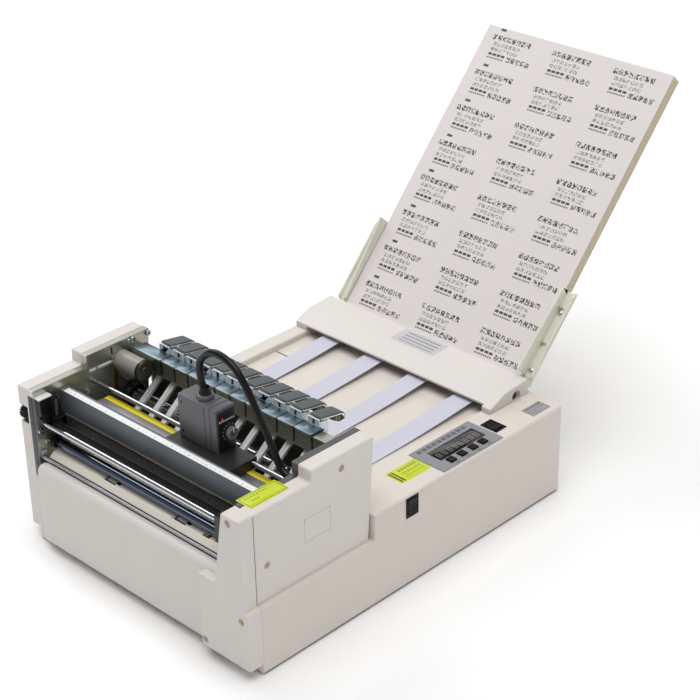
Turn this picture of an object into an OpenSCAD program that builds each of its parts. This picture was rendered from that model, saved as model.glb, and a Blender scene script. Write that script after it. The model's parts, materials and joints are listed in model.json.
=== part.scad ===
// Desk machine that slits and cross-cuts sheets of adhesive labels.
// A stack stands in the sloping hopper at the back. The feed head draws the front sheet onto the deck,
// a roller pair carries it under a row of slitting knives and a mark sensor, and a carriage that a
// toothed belt pulls from side to side parts the strips at the front.
// Millimetres, +Z up, +X to the right seen from the front, +Y towards the hopper.

/* [Cutter frame] */
// Clear width between the two side plates
frame_gap = 242; // [238:1:256]
// Thickness of each side plate
plate_t = 7; // [5:0.5:9]
// Top of the side plates at the front
front_h = 142.5; // [139:0.5:146]
// Top of the side plates at the back
rear_h = 153; // [150:0.5:158]
// Depth of the side covers, outward from the plates
cover_d = 14; // [14:0.5:18]
// Wall thickness of the mouldings
wall = 3; // [2:0.25:3]

/* [Base] */
// Length of the base, front to back
base_l = 356; // [354:1:380]
// Height of the feed deck
deck_h = 85; // [84:0.5:90]
// Height of the ledge that carries the cutter frame
ledge_h = 62; // [56:0.5:63]
// Width of the ledge outside the right cover
ledge_w = 4.5; // [2:0.5:8]
// Depth of the feed channel below the deck
channel_d = 6; // [4:0.5:7]
// Height of the rubber feet
foot_h = 2; // [1.5:0.25:4]

/* [Label sheets] */
// Width of a label sheet
sheet_w = 210; // [200:1:211]
// Length of a label sheet
sheet_l = 297; // [260:1:320]
// Thickness of the loaded stack
stack_t = 11; // [6:0.5:15]
// Slope of the hopper above the level
hopper_angle = 47.5; // [44:0.5:55]

/* [Knives] */
// Width of the cap on a knife lever
cap_w = 13; // [11:0.25:13.5]
// Width of a knife arm
arm_w = 9; // [8:0.25:9.5]
// Thickness of a slitting blade
blade_t = 1; // [0.6:0.1:1.6]

/* [Sensor] */
// Width of the mark sensor
sensor_w = 44; // [36:1:48]
// Height of the mark sensor
sensor_h = 38; // [34:1:44]
// Diameter of the sensor lead
cable_d = 6; // [5:0.2:7]

/* [Rollers and rods] */
// Diameter of the chrome pressure roller
press_d = 15; // [13:0.5:17]
// Diameter of the rubber feed roller under it
feed_d = 25; // [22:0.5:25]
// Diameter of the exit roller
exit_d = 9; // [8:0.1:9]
// Diameter of the two cutter guide rods
rod_d = 5; // [4:0.1:5]
// Diameter of the round cross-cut blade
cutter_d = 16; // [12:0.5:16.5]

/* [Hidden] */
$fn = 64;
eps = 0.01;
gap = 0.3;                // clearance between pieces that move past each other
fit = 0.05;               // radial clearance of a shaft in its bore

plate_in = frame_gap / 2;
plate_out = plate_in + plate_t;
cover_out = plate_out + cover_d;
base_right = cover_out + ledge_w;

// Side profile of the frame, in Y and Z
plate_front = -170;
seam_y = plate_front - 3; // front of the base, where the front cover begins
step_y = -113;
plate_rear_low = -53;
plate_rear_top = -45.5;
function lean(z) = plate_rear_low + (plate_rear_top - plate_rear_low) * (z - ledge_h) / (rear_h - ledge_h);
block_y = lean(deck_h) + 0.6;
base_rear = seam_y + base_l;
front_y = seam_y - 14;    // face of the right column

// Sheet path
path_x = -3.5;
channel_l = path_x - 108.5;
channel_r = path_x + 104.5;
channel_z = deck_h - channel_d;
press_at = [-69, 100];
nip_gap = 0.4;
feed_at = [press_at[0], press_at[1] - press_d / 2 - feed_d / 2 - nip_gap];
anvil_r = 10;
anvil_at = [-110, 78];
exit_at = [-152, 89.5];
wheel_r = 5;
wheel_at = [exit_at[0], exit_at[1] - exit_d / 2 - gap - wheel_r];
wheel_x = [-44.5, 40];

// Cross cutter
rod_front = [-163, 112];
rod_back = [-147, 101];
lip_rod = [-162, 82];
sensor_rod = [-108.4, 128.5];
thin_rod_d = 4;
belt_y = -152.5;
belt_z = [107.5, 116];
belt_t = 1;
pulley_r = 4.2;
flange_r = 5.4;
drive_x = plate_in - 7;
idler_x = -plate_in + 8;
carriage_w = 24;
carriage_x = plate_in - 16;
tension_at = [-164.5, 117];

// Drive train inside the left cover
drive_teeth = 28;
press_teeth = 15;
feed_teeth = 25;
pinion_teeth = 14;
gear_m = 2 * (press_at[1] - feed_at[1]) / (press_teeth + feed_teeth);
pinion_dir = 101;         // direction of the motor from the pressure roller
pinion_far = gear_m * (drive_teeth + pinion_teeth) / 2;
pinion_at = press_at + pinion_far * [cos(pinion_dir), sin(pinion_dir)];
motor_at = [-77.7, 136];
motor_r = 9;
// Inner and outer faces of the two gear layers and the belt layer
gear_w = 2.8;
layer_gap = 0.6;
layer = [for (i = [0 : 2], e = [0, gear_w]) -plate_out - 0.4 - i * (gear_w + layer_gap) - e];
press_pulley_r = 7.3;
belt_mid = gap + belt_t / 2;    // from a pulley's face to the middle of its belt
exit_pulley_r = (press_pulley_r + belt_mid) * exit_d / press_d - belt_mid;

// Knife row: one slitting lever per place, spaced as on the machine
knife_x = [-89, -71, -55.5, -38.5, -23, -5.5, 13, 31, 49, 67, 87];
bar_z = 144.7;
pivot = [-49.5, 142.5];
ear_r = 3.5;

// Mark sensor
rail_z = 122;
sensor_x = 26;
sensor_y = [-122, -102];
sensor_z = 132;
gland_h = 4;
dial_at = [-109.5, 148];
// Route of the sensor lead in X, Y and Z, from the gland over to the right plate
lead_start = [sensor_x, -112, sensor_z + sensor_h + gland_h];
lead_end = [plate_in, -110, sensor_rod[1] + 6.6];
lead_route = [
    lead_start - [0, 0, 8], lead_start, lead_start + [-4, 0, 12], lead_start + [-3, 0, 28],
    [36, -112, 213], [49, -112, 214], [62, -112, 209], [75, -112, 195], [87, -112, 176],
    [97, -111, 157], [104, -110, 142], lead_end - [9, 0, 0], lead_end, lead_end + [8, 0, 0]
];
lead_steps = 3;
lead_sides = 12;

// Hopper
stack_low = [178, deck_h + 10.5];
guide_t = 2.5;
guide_gap = 0.5;
flange_w = 11;
guide_gusset = [36, 70];  // places of the gussets, up the slope
left_proud = [3, 11];     // how far the walls stand out before the stack, at the bottom and the top
right_proud = [14, 8];
head_l = -126.5;
head_r = 111;
head_end_r = channel_r + 0.5;
head_end_l = channel_l - 1;
pickup_at = [162, deck_h + 3.5];
pickup_r = 6.5;
pickup_shaft_r = 3;
strap_x = [path_x - 79.5, path_x - 26.5, path_x + 26.5, path_x + 79.5];
strap_w = 20;
strap_t = 1;
strap_low = [-26, channel_z + 0.2];
strap_high = [144, channel_z + 7];

// Operator's side of the deck
panel_l = channel_r + 3.6;
panel_r = base_right - 3;
panel_y = [33, 106.3];
panel_t = 0.8;
display_x = [base_right - 32, base_right - 16];
display_y = [44, 99.5];
button_x = base_right - 11;
button_y = [51, 64, 77.5, 89.6];
button_s = 7;
board_z = deck_h - 15;
top_switch_at = [base_right - 21.2, 115.2];
top_switch_s = [14.6, 10.2];
side_switch_at = [-8.2, deck_h - 10.6];
side_switch_s = [11, 15.2];
rocker_pin_r = 1;
rocker_lug = 2;           // length of the lugs that carry a rocker's pin

// Origin: middle of the outline, on the table
centre_x = (base_right - cover_out) / 2;
stack_rear = stack_low[0] + sheet_l * cos(hopper_angle) + stack_t * sin(hopper_angle);
centre_y = (front_y + stack_rear) / 2;

// Shared shapes

module placed() {
    translate([-centre_x, -centre_y, 0])
        children();
}

module block(low, high) {
    translate(low)
        cube(high - low);
}

// Side profile drawn in Y and Z, extruded along X
module along_x(x0, x1) {
    translate([x0, 0, 0])
        rotate([90, 0, 90])
            linear_extrude(x1 - x0)
                children();
}

// Front profile drawn in X and Z, extruded along Y
module along_y(y0, y1) {
    translate([0, y1, 0])
        rotate([90, 0, 0])
            linear_extrude(y1 - y0)
                children();
}

module rod_x(r, x0, x1, at) {
    translate([x0, at[0], at[1]])
        rotate([0, 90, 0])
            cylinder(r = r, h = x1 - x0);
}

module rod_y(r, y0, y1, at) {
    translate([at[0], y1, at[1]])
        rotate([90, 0, 0])
            cylinder(r = r, h = y1 - y0);
}

// What a rounded outer corner takes away: the corner square less its quarter circle
module corner_2d(r) {
    difference() {
        translate([-r, -r])
            square(r + 1);
        translate([-r, -r])
            circle(r);
    }
}

// Straight-sided gear with a tooth on the +X axis
module gear_2d(teeth, m) {
    pitch_r = m * teeth / 2;
    circle(pitch_r - 1.2 * m);
    for (i = [0 : teeth - 1])
        rotate(i * 360 / teeth)
            polygon([
                [pitch_r - 1.5 * m, -0.85 * m], [pitch_r, -0.62 * m], [pitch_r + 0.85 * m, -0.28 * m],
                [pitch_r + 0.85 * m, 0.28 * m], [pitch_r, 0.62 * m], [pitch_r - 1.5 * m, 0.85 * m]
            ]);
}

arc_steps = 24;
function arc(centre, r, from, to) = [
    for (i = [0 : arc_steps])
        let (angle = from + (to - from) * i / arc_steps)
        centre + r * [cos(angle), sin(angle)]
];

// Outline round two circles and their outer tangents
module loop_2d(a, ra, b, rb) {
    way = atan2(b[1] - a[1], b[0] - a[0]);
    side = acos((ra - rb) / norm(b - a));
    polygon(concat(
        arc(a, ra, way + side, way + 360 - side),
        arc(b, rb, way - side, way + side)
    ));
}

module belt_2d(a, ra, b, rb) {
    difference() {
        loop_2d(a, ra + gap + belt_t, b, rb + gap + belt_t);
        loop_2d(a, ra + gap, b, rb + gap);
    }
}

// Point on a smooth curve through four route points
function curve(a, b, c, d, t) =
    0.5 * (2 * b + (c - a) * t + (2 * a - 5 * b + 4 * c - d) * t * t + (3 * b - a - 3 * c + d) * t * t * t);
function unit(v) = v / norm(v);

// Round tube along a list of points that lie near one upright plane
module tube(points, r, sides) {
    last = len(points) - 1;
    rings = [
        for (i = [0 : last])
            let (
                along = i == 0 ? [0, 0, 1]
                    : i == last ? [1, 0, 0]
                    : unit(points[i + 1] - points[i - 1]),
                out = unit(cross(along, [0, 1, 0])),
                across = cross(along, out)
            )
            for (k = [0 : sides - 1])
                points[i] + r * (cos(360 * k / sides) * out + sin(360 * k / sides) * across)
    ];
    walls = [
        for (i = [0 : last - 1])
            for (k = [0 : sides - 1])
                let (n = (k + 1) % sides)
                [i * sides + k, i * sides + n, (i + 1) * sides + n, (i + 1) * sides + k]
    ];
    polyhedron(
        rings,
        concat(
            [[for (k = [sides - 1 : -1 : 0]) k]],
            walls,
            [[for (k = [0 : sides - 1]) last * sides + k]]
        )
    );
}

// Hopper frame: along the sheet, behind its front face
module in_hopper(x0, x1) {
    along_x(x0, x1)
        translate(stack_low)
            rotate(hopper_angle)
                mirror([0, 1])
                    children();
}

// Housing

boss_r = 5;
boss_in = 13;
boss_at = [
    [-plate_out + boss_in, seam_y + 10, ledge_h - wall + eps],
    [base_right - boss_in, seam_y + 10, ledge_h - wall + eps],
    [-plate_out + boss_in, base_rear - boss_in, channel_z - wall + eps],
    [base_right - boss_in, base_rear - boss_in, deck_h - wall + eps]
];
plate_sheet = 1.5;
base_corner_r = 6;
deck_edge_r = 3;
shaft_hole_r = 3;

module base_shell() {
    block([-plate_out, seam_y, foot_h], [base_right, base_rear, ledge_h]);
    block([-plate_out, block_y, ledge_h - 1], [base_right, base_rear, deck_h]);
}

module base_hollow() {
    block([-plate_out + wall, seam_y + wall, 0], [base_right - wall, base_rear - wall, ledge_h - wall]);
    block([-plate_out + wall, block_y + wall, 0], [base_right - wall, base_rear - wall, channel_z - wall]);
    block([channel_r + wall, block_y + wall, 0], [base_right - wall, base_rear - wall, deck_h - wall]);
}

// Lug with a rocker's pin hole at the middle, its top sunk into the wall
module rocker_lug_2d() {
    difference() {
        translate([-2.5, -2.5])
            square([5, 2.5 + 4 - wall + 0.5]);
        circle(rocker_pin_r + fit);
    }
}

module base_housing() {
    placed() color("ivory") {
        difference() {
            base_shell();
            base_hollow();
            // Feed channel, open towards the cutter
            block([channel_l, block_y - 1, channel_z], [channel_r, base_rear - 12, deck_h + 1]);
            // Rounded top edges and back corners
            along_y(block_y - 1, base_rear + 1)
                translate([base_right, deck_h])
                    corner_2d(deck_edge_r);
            along_x(-plate_out - 1, base_right + 1)
                translate([base_rear, deck_h])
                    corner_2d(deck_edge_r);
            translate([base_right, base_rear, 0])
                linear_extrude(deck_h + 1)
                    corner_2d(base_corner_r);
            translate([-plate_out, base_rear, 0])
                linear_extrude(deck_h + 1)
                    mirror([1, 0])
                        corner_2d(base_corner_r);
            // Openings under the control panel and for the two switches
            block(
                [display_x[0] - gap, display_y[0] - gap, deck_h - 10],
                [display_x[1] + gap, display_y[1] + gap, deck_h + 1]
            );
            for (y = button_y)
                translate([button_x, y, deck_h])
                    cube([button_s + 2 * gap, button_s + 2 * gap, 20], center = true);
            translate([top_switch_at[0], top_switch_at[1], deck_h])
                cube([top_switch_s[0], top_switch_s[1], 20], center = true);
            translate([base_right, side_switch_at[0], side_switch_at[1]])
                cube([20, side_switch_s[0], side_switch_s[1]], center = true);
            // Motor shaft passes up through the ledge
            translate([drive_x, belt_y, 0])
                cylinder(r = shaft_hole_r, h = ledge_h + 1);
            // Room for the low rollers and the tray's lip, where the ledge is set that high
            rod_x(feed_d / 2 + gap, -plate_in, plate_in, feed_at);
            rod_x(anvil_r + gap, -plate_in, plate_in, anvil_at);
            block(
                [-plate_in - gap, tray_y[0] - gap, tray_top - tray_lip - gap],
                [plate_in + gap, tray_y[0] + tray_t + gap, deck_h]
            );
        }
        // Ramp that lifts the sheet to the rollers
        along_x(channel_l + 6, channel_r - 6)
            polygon([
                [block_y, channel_z - 1], [block_y + 20, channel_z - 1],
                [block_y + 20, channel_z], [block_y, channel_z + 8]
            ]);
        // Lugs behind the wall that carry the pins of the two rockers
        for (e = [-1, 1]) {
            y = top_switch_at[1] + e * (top_switch_s[1] + rocker_lug) / 2;
            along_y(y - rocker_lug / 2, y + rocker_lug / 2)
                translate([top_switch_at[0], deck_h - 4])
                    rocker_lug_2d();
        }
        for (e = [-1, 1]) {
            y = side_switch_at[0] + e * (side_switch_s[0] + rocker_lug) / 2;
            along_y(y - rocker_lug / 2, y + rocker_lug / 2)
                translate([base_right - 4, side_switch_at[1]])
                    rotate(-90)
                        rocker_lug_2d();
        }
        // Screw bosses for the feet and the circuit board
        for (b = boss_at)
            translate([b[0], b[1], foot_h + plate_sheet])
                cylinder(r = boss_r, h = b[2] - foot_h - plate_sheet);
        for (x = [panel_l + 3.4, panel_r - 3.4], y = [panel_y[0] + 3.4, panel_y[1] - 3.4])
            translate([x, y, board_z + 1.6])
                cylinder(r = 2.5, h = deck_h - wall - board_z - 1.6 + eps);
    }
}

module bottom_plate() {
    placed() color("silver")
        block(
            [-plate_out + wall + gap, seam_y + wall + gap, foot_h],
            [base_right - wall - gap, base_rear - wall - base_corner_r, foot_h + plate_sheet]
        );
}

module rubber_feet() {
    placed() color("dimgray")
        for (b = boss_at)
            translate([b[0], b[1] > 0 ? b[1] - 4 : b[1], 0])
                rotate_extrude()
                    polygon([[0, 0], [8, 0], [9, foot_h / 2], [9, foot_h], [0, foot_h]]);
}

// Front cover: low panel, corner block and right column in one moulding
panel_low = 10;
panel_edge_l = -plate_in + 8;
block_l = plate_in - 29;
column_l = [plate_in - 10, plate_in + 1];
block_top = 77;
panel_r_top = 6.5;
panel_face = seam_y - 7;
panel_top_z = 81.5;
column_edge_r = 4;

function column_profile(t) = [
    [block_l + t, panel_low + t], [base_right - t, panel_low + t], [base_right - t, ledge_h - gap - t],
    [cover_out - t, ledge_h - gap - t], [cover_out - t, front_h + 0.5 - t],
    [column_l[1] + t * 0.9, front_h + 0.5 - t], [column_l[0] + t * 0.9, block_top - t],
    [block_l + t, block_top - t]
];

module front_cover() {
    placed() color("ivory")
        difference() {
            union() {
                along_y(front_y, seam_y)
                    polygon(column_profile(0));
                block([panel_edge_l, panel_face, panel_low], [block_l + 1, seam_y, ledge_h + 1]);
                block(
                    [panel_edge_l, panel_face, ledge_h],
                    [block_l + 1, panel_face + 2 * panel_r_top, panel_top_z - panel_r_top]
                );
                rod_x(
                    panel_r_top, panel_edge_l, block_l + 1,
                    [panel_face + panel_r_top, panel_top_z - panel_r_top]
                );
            }
            along_y(front_y + wall, seam_y + 1)
                polygon(column_profile(wall));
            block(
                [panel_edge_l + wall, panel_face + wall, panel_low + wall],
                [block_l, seam_y + 1, ledge_h + eps]
            );
            for (s = front_screws)
                rod_y(screw_r + gap, front_y - 1, front_y + screw_sink, s);
            translate([panel_edge_l, panel_face, 0])
                linear_extrude(ledge_h + 40)
                    rotate(180)
                        corner_2d(column_edge_r);
            translate([cover_out, front_y, ledge_h - gap])
                linear_extrude(100)
                    rotate(-90)
                        corner_2d(column_edge_r);
            translate([base_right, front_y, 0])
                linear_extrude(ledge_h)
                    rotate(-90)
                        corner_2d(column_edge_r);
        }
}

function side_profile(front, low, t) = [
    [front + t, low + t], [plate_rear_low - t, low + t], [plate_rear_low - t, ledge_h],
    [plate_rear_top - t * 1.2, rear_h - t], [step_y + t, rear_h - t], [step_y + t, front_h - t],
    [front + t, front_h - t]
];

left_cover_low = 8;
cover_edge_r = 2;
wheel_room = 8;

module left_side_cover() {
    placed() color("ivory")
        difference() {
            along_x(-cover_out, -plate_out)
                polygon(side_profile(plate_front, left_cover_low, 0));
            along_x(-cover_out + wall, -plate_out + 1)
                polygon(side_profile(plate_front, left_cover_low, wall));
            // Corner opening for the thumb wheel
            block(
                [-cover_out - 1, plate_front - 1, tension_at[1] - wheel_room],
                [-plate_out - 2, tension_at[0] + wheel_room, tension_at[1] + wheel_room]
            );
            for (s = side_screws)
                rod_x(screw_r + gap, -cover_out - 1, -cover_out + screw_sink, s);
            along_y(plate_front - 1, plate_rear_top + 1)
                translate([-cover_out, rear_h])
                    mirror([1, 0])
                        corner_2d(cover_edge_r);
        }
}

module right_side_cover() {
    placed() color("ivory")
        difference() {
            along_x(plate_out, cover_out)
                polygon(side_profile(seam_y, ledge_h, 0));
            along_x(plate_out - 1, cover_out - wall)
                polygon(side_profile(seam_y, ledge_h, wall));
            for (s = side_screws)
                rod_x(screw_r + gap, cover_out - screw_sink, cover_out + 1, s);
            along_y(step_y - 1, plate_rear_top + 1)
                translate([cover_out, rear_h])
                    corner_2d(cover_edge_r);
        }
}

screw_r = 2.7;
screw_sink = 2;
side_screws = [[-81.5, rear_h - 12], [-161, ledge_h + 31.4]];
front_screws = [[plate_in + 9, front_h - 5.5], [base_right - 7, ledge_h - 8], [block_l + 5, panel_low + 7]];

// Pan head with a cross slot, lying on its seat at z = 0
module screw() {
    difference() {
        cylinder(r = screw_r, h = 1.6);
        for (a = [0, 90])
            rotate(a)
                translate([0, 0, 1.6])
                    cube([3.6, 0.9, 1.6], center = true);
    }
}

module cover_screws() {
    placed() color("lightgray") {
        for (s = side_screws) {
            translate([cover_out - screw_sink, s[0], s[1]])
                rotate([0, 90, 0])
                    screw();
            translate([-cover_out + screw_sink, s[0], s[1]])
                rotate([0, -90, 0])
                    screw();
        }
        for (s = front_screws)
            translate([s[0], front_y + screw_sink, s[1]])
                rotate([90, 0, 0])
                    screw();
    }
}

// Cutter frame

module frame_side(x0, x1) {
    along_x(x0, x1)
        polygon(side_profile(plate_front, ledge_h, 0));
}

module roller_bores() {
    for (at = [press_at, feed_at, anvil_at])
        rod_x(shaft_r + fit, -plate_out - 1, plate_out + 1, at);
}

shaft_r = 4;
exit_shaft_r = 2;
pinion_shaft_r = 2;
tension_shaft_r = 2;

module left_frame_plate() {
    placed() color("lightslategray")
        difference() {
            frame_side(-plate_out, -plate_in);
            roller_bores();
            rod_x(exit_shaft_r + fit, -plate_out - 1, -plate_in + 1, exit_at);
            rod_x(pinion_shaft_r + fit, -plate_out - 1, -plate_in + 1, pinion_at);
            rod_x(tension_shaft_r + fit, -plate_out - 1, -plate_in + 1, tension_at);
        }
}

module right_frame_plate() {
    placed() color("lightslategray")
        difference() {
            frame_side(plate_in, plate_out);
            roller_bores();
        }
}

bar_front = -68;
bar_rear = -56.5;
bar_t = 2;
skirt_z = 129.5;

module knife_bar() {
    placed() color("slategray")
        along_x(-plate_in, plate_in)
            polygon([
                [bar_front, skirt_z], [bar_front + bar_t, skirt_z], [bar_front + bar_t, bar_z - bar_t],
                [bar_rear, bar_z - bar_t], [bar_rear, bar_z], [bar_front, bar_z]
            ]);
}

bracket_t = 1.2;
foot_w = 14.6;
tab_top = 152.2;
tab_low = 139;
ear_out = cap_w / 2 - gap;
pin_r = 1.5;

module knife_bracket() {
    tab_y = bar_rear + 0.1;
    difference() {
        union() {
            // Foot on the bar, and the upright tab behind it
            block([-foot_w / 2, bar_front - 0.6, bar_z], [foot_w / 2, tab_y + bracket_t, bar_z + bracket_t]);
            block([-ear_out, tab_y, tab_low], [ear_out, tab_y + bracket_t, tab_top]);
            // Two ears that carry the lever's pin
            for (x = [-ear_out, ear_out - bracket_t])
                along_x(x, x + bracket_t) {
                    translate(pivot)
                        circle(ear_r);
                    translate([tab_y + bracket_t / 2, pivot[1] - ear_r])
                        square([pivot[0] - tab_y - bracket_t / 2, 2 * ear_r]);
                }
        }
        rod_x(pin_r + fit, -cap_w, cap_w, pivot);
        // Adjusting slot in the tab
        translate([0, tab_y, tab_top - 3.4])
            cube([3, 4, 5], center = true);
    }
}

module knife_brackets() {
    placed() color("lightsteelblue")
        for (x = knife_x)
            translate([x, 0, 0])
                knife_bracket();
}

beam_y = [-142, -134];
beam_z = [112, 134];

module ruler_beam() {
    placed() color("slategray")
        difference() {
            block([-plate_in, beam_y[0], beam_z[0]], [plate_in, beam_y[1], beam_z[1]]);
            // Seat of the scale strip
            block(
                [-plate_in + 4, beam_y[0] - 1, beam_z[1] - 0.4],
                [plate_in - 4, beam_y[0] + 6, beam_z[1] + 1]
            );
        }
}

rail_y = [-121, -108];
rail_t = 3;
rail_l = -plate_in + 20;

module sensor_rail() {
    placed() color("gray") {
        block([rail_l, rail_y[0], rail_z - rail_t], [plate_in, rail_y[1], rail_z]);
        // Hanger from the ruler beam
        block([rail_l, beam_y[1], rail_z - rail_t], [rail_l + 6, rail_y[0] + 1, rail_z]);
    }
}

module guide_rods() {
    placed() color("gainsboro") {
        for (at = [rod_front, rod_back])
            rod_x(rod_d / 2, -plate_in, plate_in, at);
        for (at = [sensor_rod, lip_rod])
            rod_x(thin_rod_d / 2, -plate_in, plate_in, at);
    }
}

tray_t = 2.5;
tray_lip = 16;
tray_rise = 1.6;
tray_top = wheel_at[1] + wheel_r - 0.5;
tray_y = [-158.5, -141];
bearing_x = [plate_in - 15, plate_in - 11];
wheel_w = 10;
lug_t = 2.5;
axle_r = 1.5;

module exit_tray() {
    placed() color("ivory")
        difference() {
            union() {
                along_x(-plate_in, plate_in)
                    polygon([
                        [tray_y[0], tray_top - tray_lip], [tray_y[0] + tray_t, tray_top - tray_lip],
                        [tray_y[0] + tray_t, tray_top - tray_t], [exit_at[0] + 5, tray_top - tray_t],
                        [tray_y[1], tray_top - tray_t + tray_rise], [tray_y[1], tray_top + tray_rise],
                        [exit_at[0] + 5, tray_top], [tray_y[0], tray_top]
                    ]);
                // Bearing of the exit roller
                block(
                    [bearing_x[0], exit_at[0] - 4, tray_top - 1],
                    [bearing_x[1], exit_at[0] + 4, exit_at[1] + 4]
                );
                // Lugs of the idler wheels
                for (x = wheel_x, s = [-1, 1])
                    translate([x + s * (wheel_w / 2 + gap + lug_t / 2), wheel_at[0], wheel_at[1] - 0.5])
                        cube([lug_t, 6, 7], center = true);
            }
            rod_x(exit_shaft_r + fit, bearing_x[0] - 1, bearing_x[1] + 1, exit_at);
            for (x = wheel_x) {
                rod_x(axle_r + fit, x - 20, x + 20, wheel_at);
                translate([x, wheel_at[0], wheel_at[1]])
                    cube([wheel_w + 2 * gap, 2 * wheel_r + 1, 4 * wheel_r], center = true);
            }
            translate([drive_x, belt_y, 0])
                cylinder(r = shaft_hole_r, h = front_h);
        }
}

bracket_s = 1.3;
bracket_low = belt_z[0] - 3;
bracket_top = 139;

module pulley_bracket() {
    placed() color("lightsteelblue") {
        difference() {
            union() {
                block(
                    [-plate_in, tension_at[0] - 4, bracket_low],
                    [-plate_in + bracket_s, belt_y + 6, bracket_top]
                );
                block(
                    [-plate_in, belt_y - 6, bracket_low],
                    [idler_x + 6, belt_y + 6, bracket_low + bracket_s]
                );
                block(
                    [-plate_in, belt_y - 12, bracket_top - bracket_s],
                    [idler_x + 5, belt_y + 4, bracket_top]
                );
            }
            rod_x(rod_d / 2 + gap, -plate_in - 1, -plate_in + 3, rod_front);
            rod_x(tension_shaft_r + gap, -plate_in - 1, -plate_in + 3, tension_at);
        }
        translate([idler_x, belt_y, bracket_low + bracket_s / 2])
            cylinder(r = axle_r, h = bracket_top - bracket_low - bracket_s);
    }
}

module drive_belts() {
    placed() color("black") {
        // Cutter belt, flat round two upright pulleys
        translate([0, 0, belt_z[0]])
            linear_extrude(belt_z[1] - belt_z[0])
                belt_2d([idler_x, belt_y], pulley_r, [drive_x, belt_y], pulley_r);
        // Roller belt inside the left cover
        along_x(layer[5] + 0.2, layer[4] - 0.2)
            belt_2d(exit_at, exit_pulley_r, press_at, press_pulley_r);
    }
}

// Rollers and drive

roller_end = plate_in - 8;

module pressure_roller() {
    placed() color("gainsboro") {
        rod_x(press_d / 2, -roller_end, roller_end, press_at);
        rod_x(shaft_r, layer[5], plate_out - 1, press_at);
        along_x(layer[1], layer[0])
            translate(press_at)
                rotate(pinion_dir)
                    gear_2d(drive_teeth, gear_m);
        along_x(layer[3], layer[2])
            translate(press_at)
                rotate(-90)
                    gear_2d(press_teeth, gear_m);
        rod_x(press_pulley_r, layer[5], layer[4], press_at);
    }
}

module feed_roller() {
    placed() color("dimgray") {
        rod_x(feed_d / 2, -roller_end, roller_end, feed_at);
        rod_x(shaft_r, layer[3], plate_out - 1, feed_at);
        along_x(layer[3], layer[2])
            translate(feed_at)
                rotate(90 + 180 / feed_teeth)
                    gear_2d(feed_teeth, gear_m);
    }
}

module motor_pinion() {
    placed() color("goldenrod") {
        rod_x(pinion_shaft_r, layer[1], -plate_in + motor_flange - 1, pinion_at);
        along_x(layer[1], layer[0])
            translate(pinion_at)
                rotate(pinion_dir + 180 + 180 / pinion_teeth)
                    gear_2d(pinion_teeth, gear_m);
    }
}

module anvil_roller() {
    placed() color("gainsboro") {
        rod_x(anvil_r, -roller_end, roller_end, anvil_at);
        rod_x(shaft_r, -plate_out + 1, plate_out - 1, anvil_at);
    }
}

module exit_roller() {
    placed() color("steelblue") {
        rod_x(exit_d / 2, -roller_end, bearing_x[0] - 2, exit_at);
        rod_x(exit_shaft_r, layer[5], bearing_x[1], exit_at);
        rod_x(exit_pulley_r, layer[5], layer[4], exit_at);
    }
}

module idler_wheels() {
    placed() color("dimgray")
        for (x = wheel_x) {
            rod_x(wheel_r, x - wheel_w / 2, x + wheel_w / 2, wheel_at);
            rod_x(axle_r, x - wheel_w / 2 - lug_t, x + wheel_w / 2 + lug_t, wheel_at);
        }
}

module pickup_roller() {
    placed() color("dimgray") {
        rod_x(pickup_shaft_r, head_l + 4, head_r - 2, pickup_at);
        for (x = strap_x)
            rod_x(pickup_r, x - 8, x + 8, pickup_at);
    }
}

motor_l = 31;
motor_flange = 5;

// Drum, and the gearbox that sets its shaft off to one side
module feed_motor() {
    placed() color("lightgray")
        difference() {
            union() {
                rod_x(motor_r, -plate_in, -plate_in + motor_l, motor_at);
                along_x(-plate_in, -plate_in + motor_flange)
                    loop_2d(motor_at, motor_r - 0.5, pinion_at, pinion_shaft_r + 3);
            }
            rod_x(pinion_shaft_r + fit, -plate_in - 1, -plate_in + motor_flange - 0.5, pinion_at);
        }
}

motor_h = 38;
cutter_motor_r = 14;
drive_shaft_r = 1.5;
shaft_low = ledge_h - wall - motor_h + 11;

module cutter_motor() {
    placed() color("gray")
        translate([drive_x, belt_y, ledge_h - wall - motor_h])
            difference() {
                cylinder(r = cutter_motor_r, h = motor_h);
                translate([0, 0, 10])
                    cylinder(r = drive_shaft_r + fit, h = motor_h);
            }
}

// Cross cutter

hub_r = 3;

module belt_pulley() {
    translate([0, 0, belt_z[0] - 1.4])
        cylinder(r = flange_r, h = 1);
    translate([0, 0, belt_z[0] - 1])
        cylinder(r = pulley_r, h = belt_z[1] - belt_z[0] + 2);
    translate([0, 0, belt_z[1] + 0.4])
        cylinder(r = flange_r, h = 1);
}

module drive_pulley() {
    placed() color("dimgray")
        translate([drive_x, belt_y, 0]) {
            belt_pulley();
            translate([0, 0, shaft_low])
                cylinder(r = drive_shaft_r, h = belt_z[1] + 6 - shaft_low);
        }
}

module idler_pulley() {
    placed() color("dimgray")
        translate([idler_x, belt_y, 0])
            difference() {
                union() {
                    belt_pulley();
                    translate([0, 0, belt_z[1]])
                        cylinder(r = hub_r, h = bracket_top - bracket_s - belt_z[1] - 4);
                }
                translate([0, 0, belt_z[0] - 5])
                    cylinder(r = axle_r + fit, h = bracket_top - belt_z[0]);
            }
}

grip_teeth = 18;
grip_m = 0.72;

module tension_knob() {
    placed() color("dimgray") {
        along_x(-cover_out + 1, -plate_out - 3)
            translate(tension_at)
                gear_2d(grip_teeth, grip_m);
        rod_x(tension_shaft_r, -plate_out - 4, -plate_in + 1.5, tension_at);
    }
}

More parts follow.
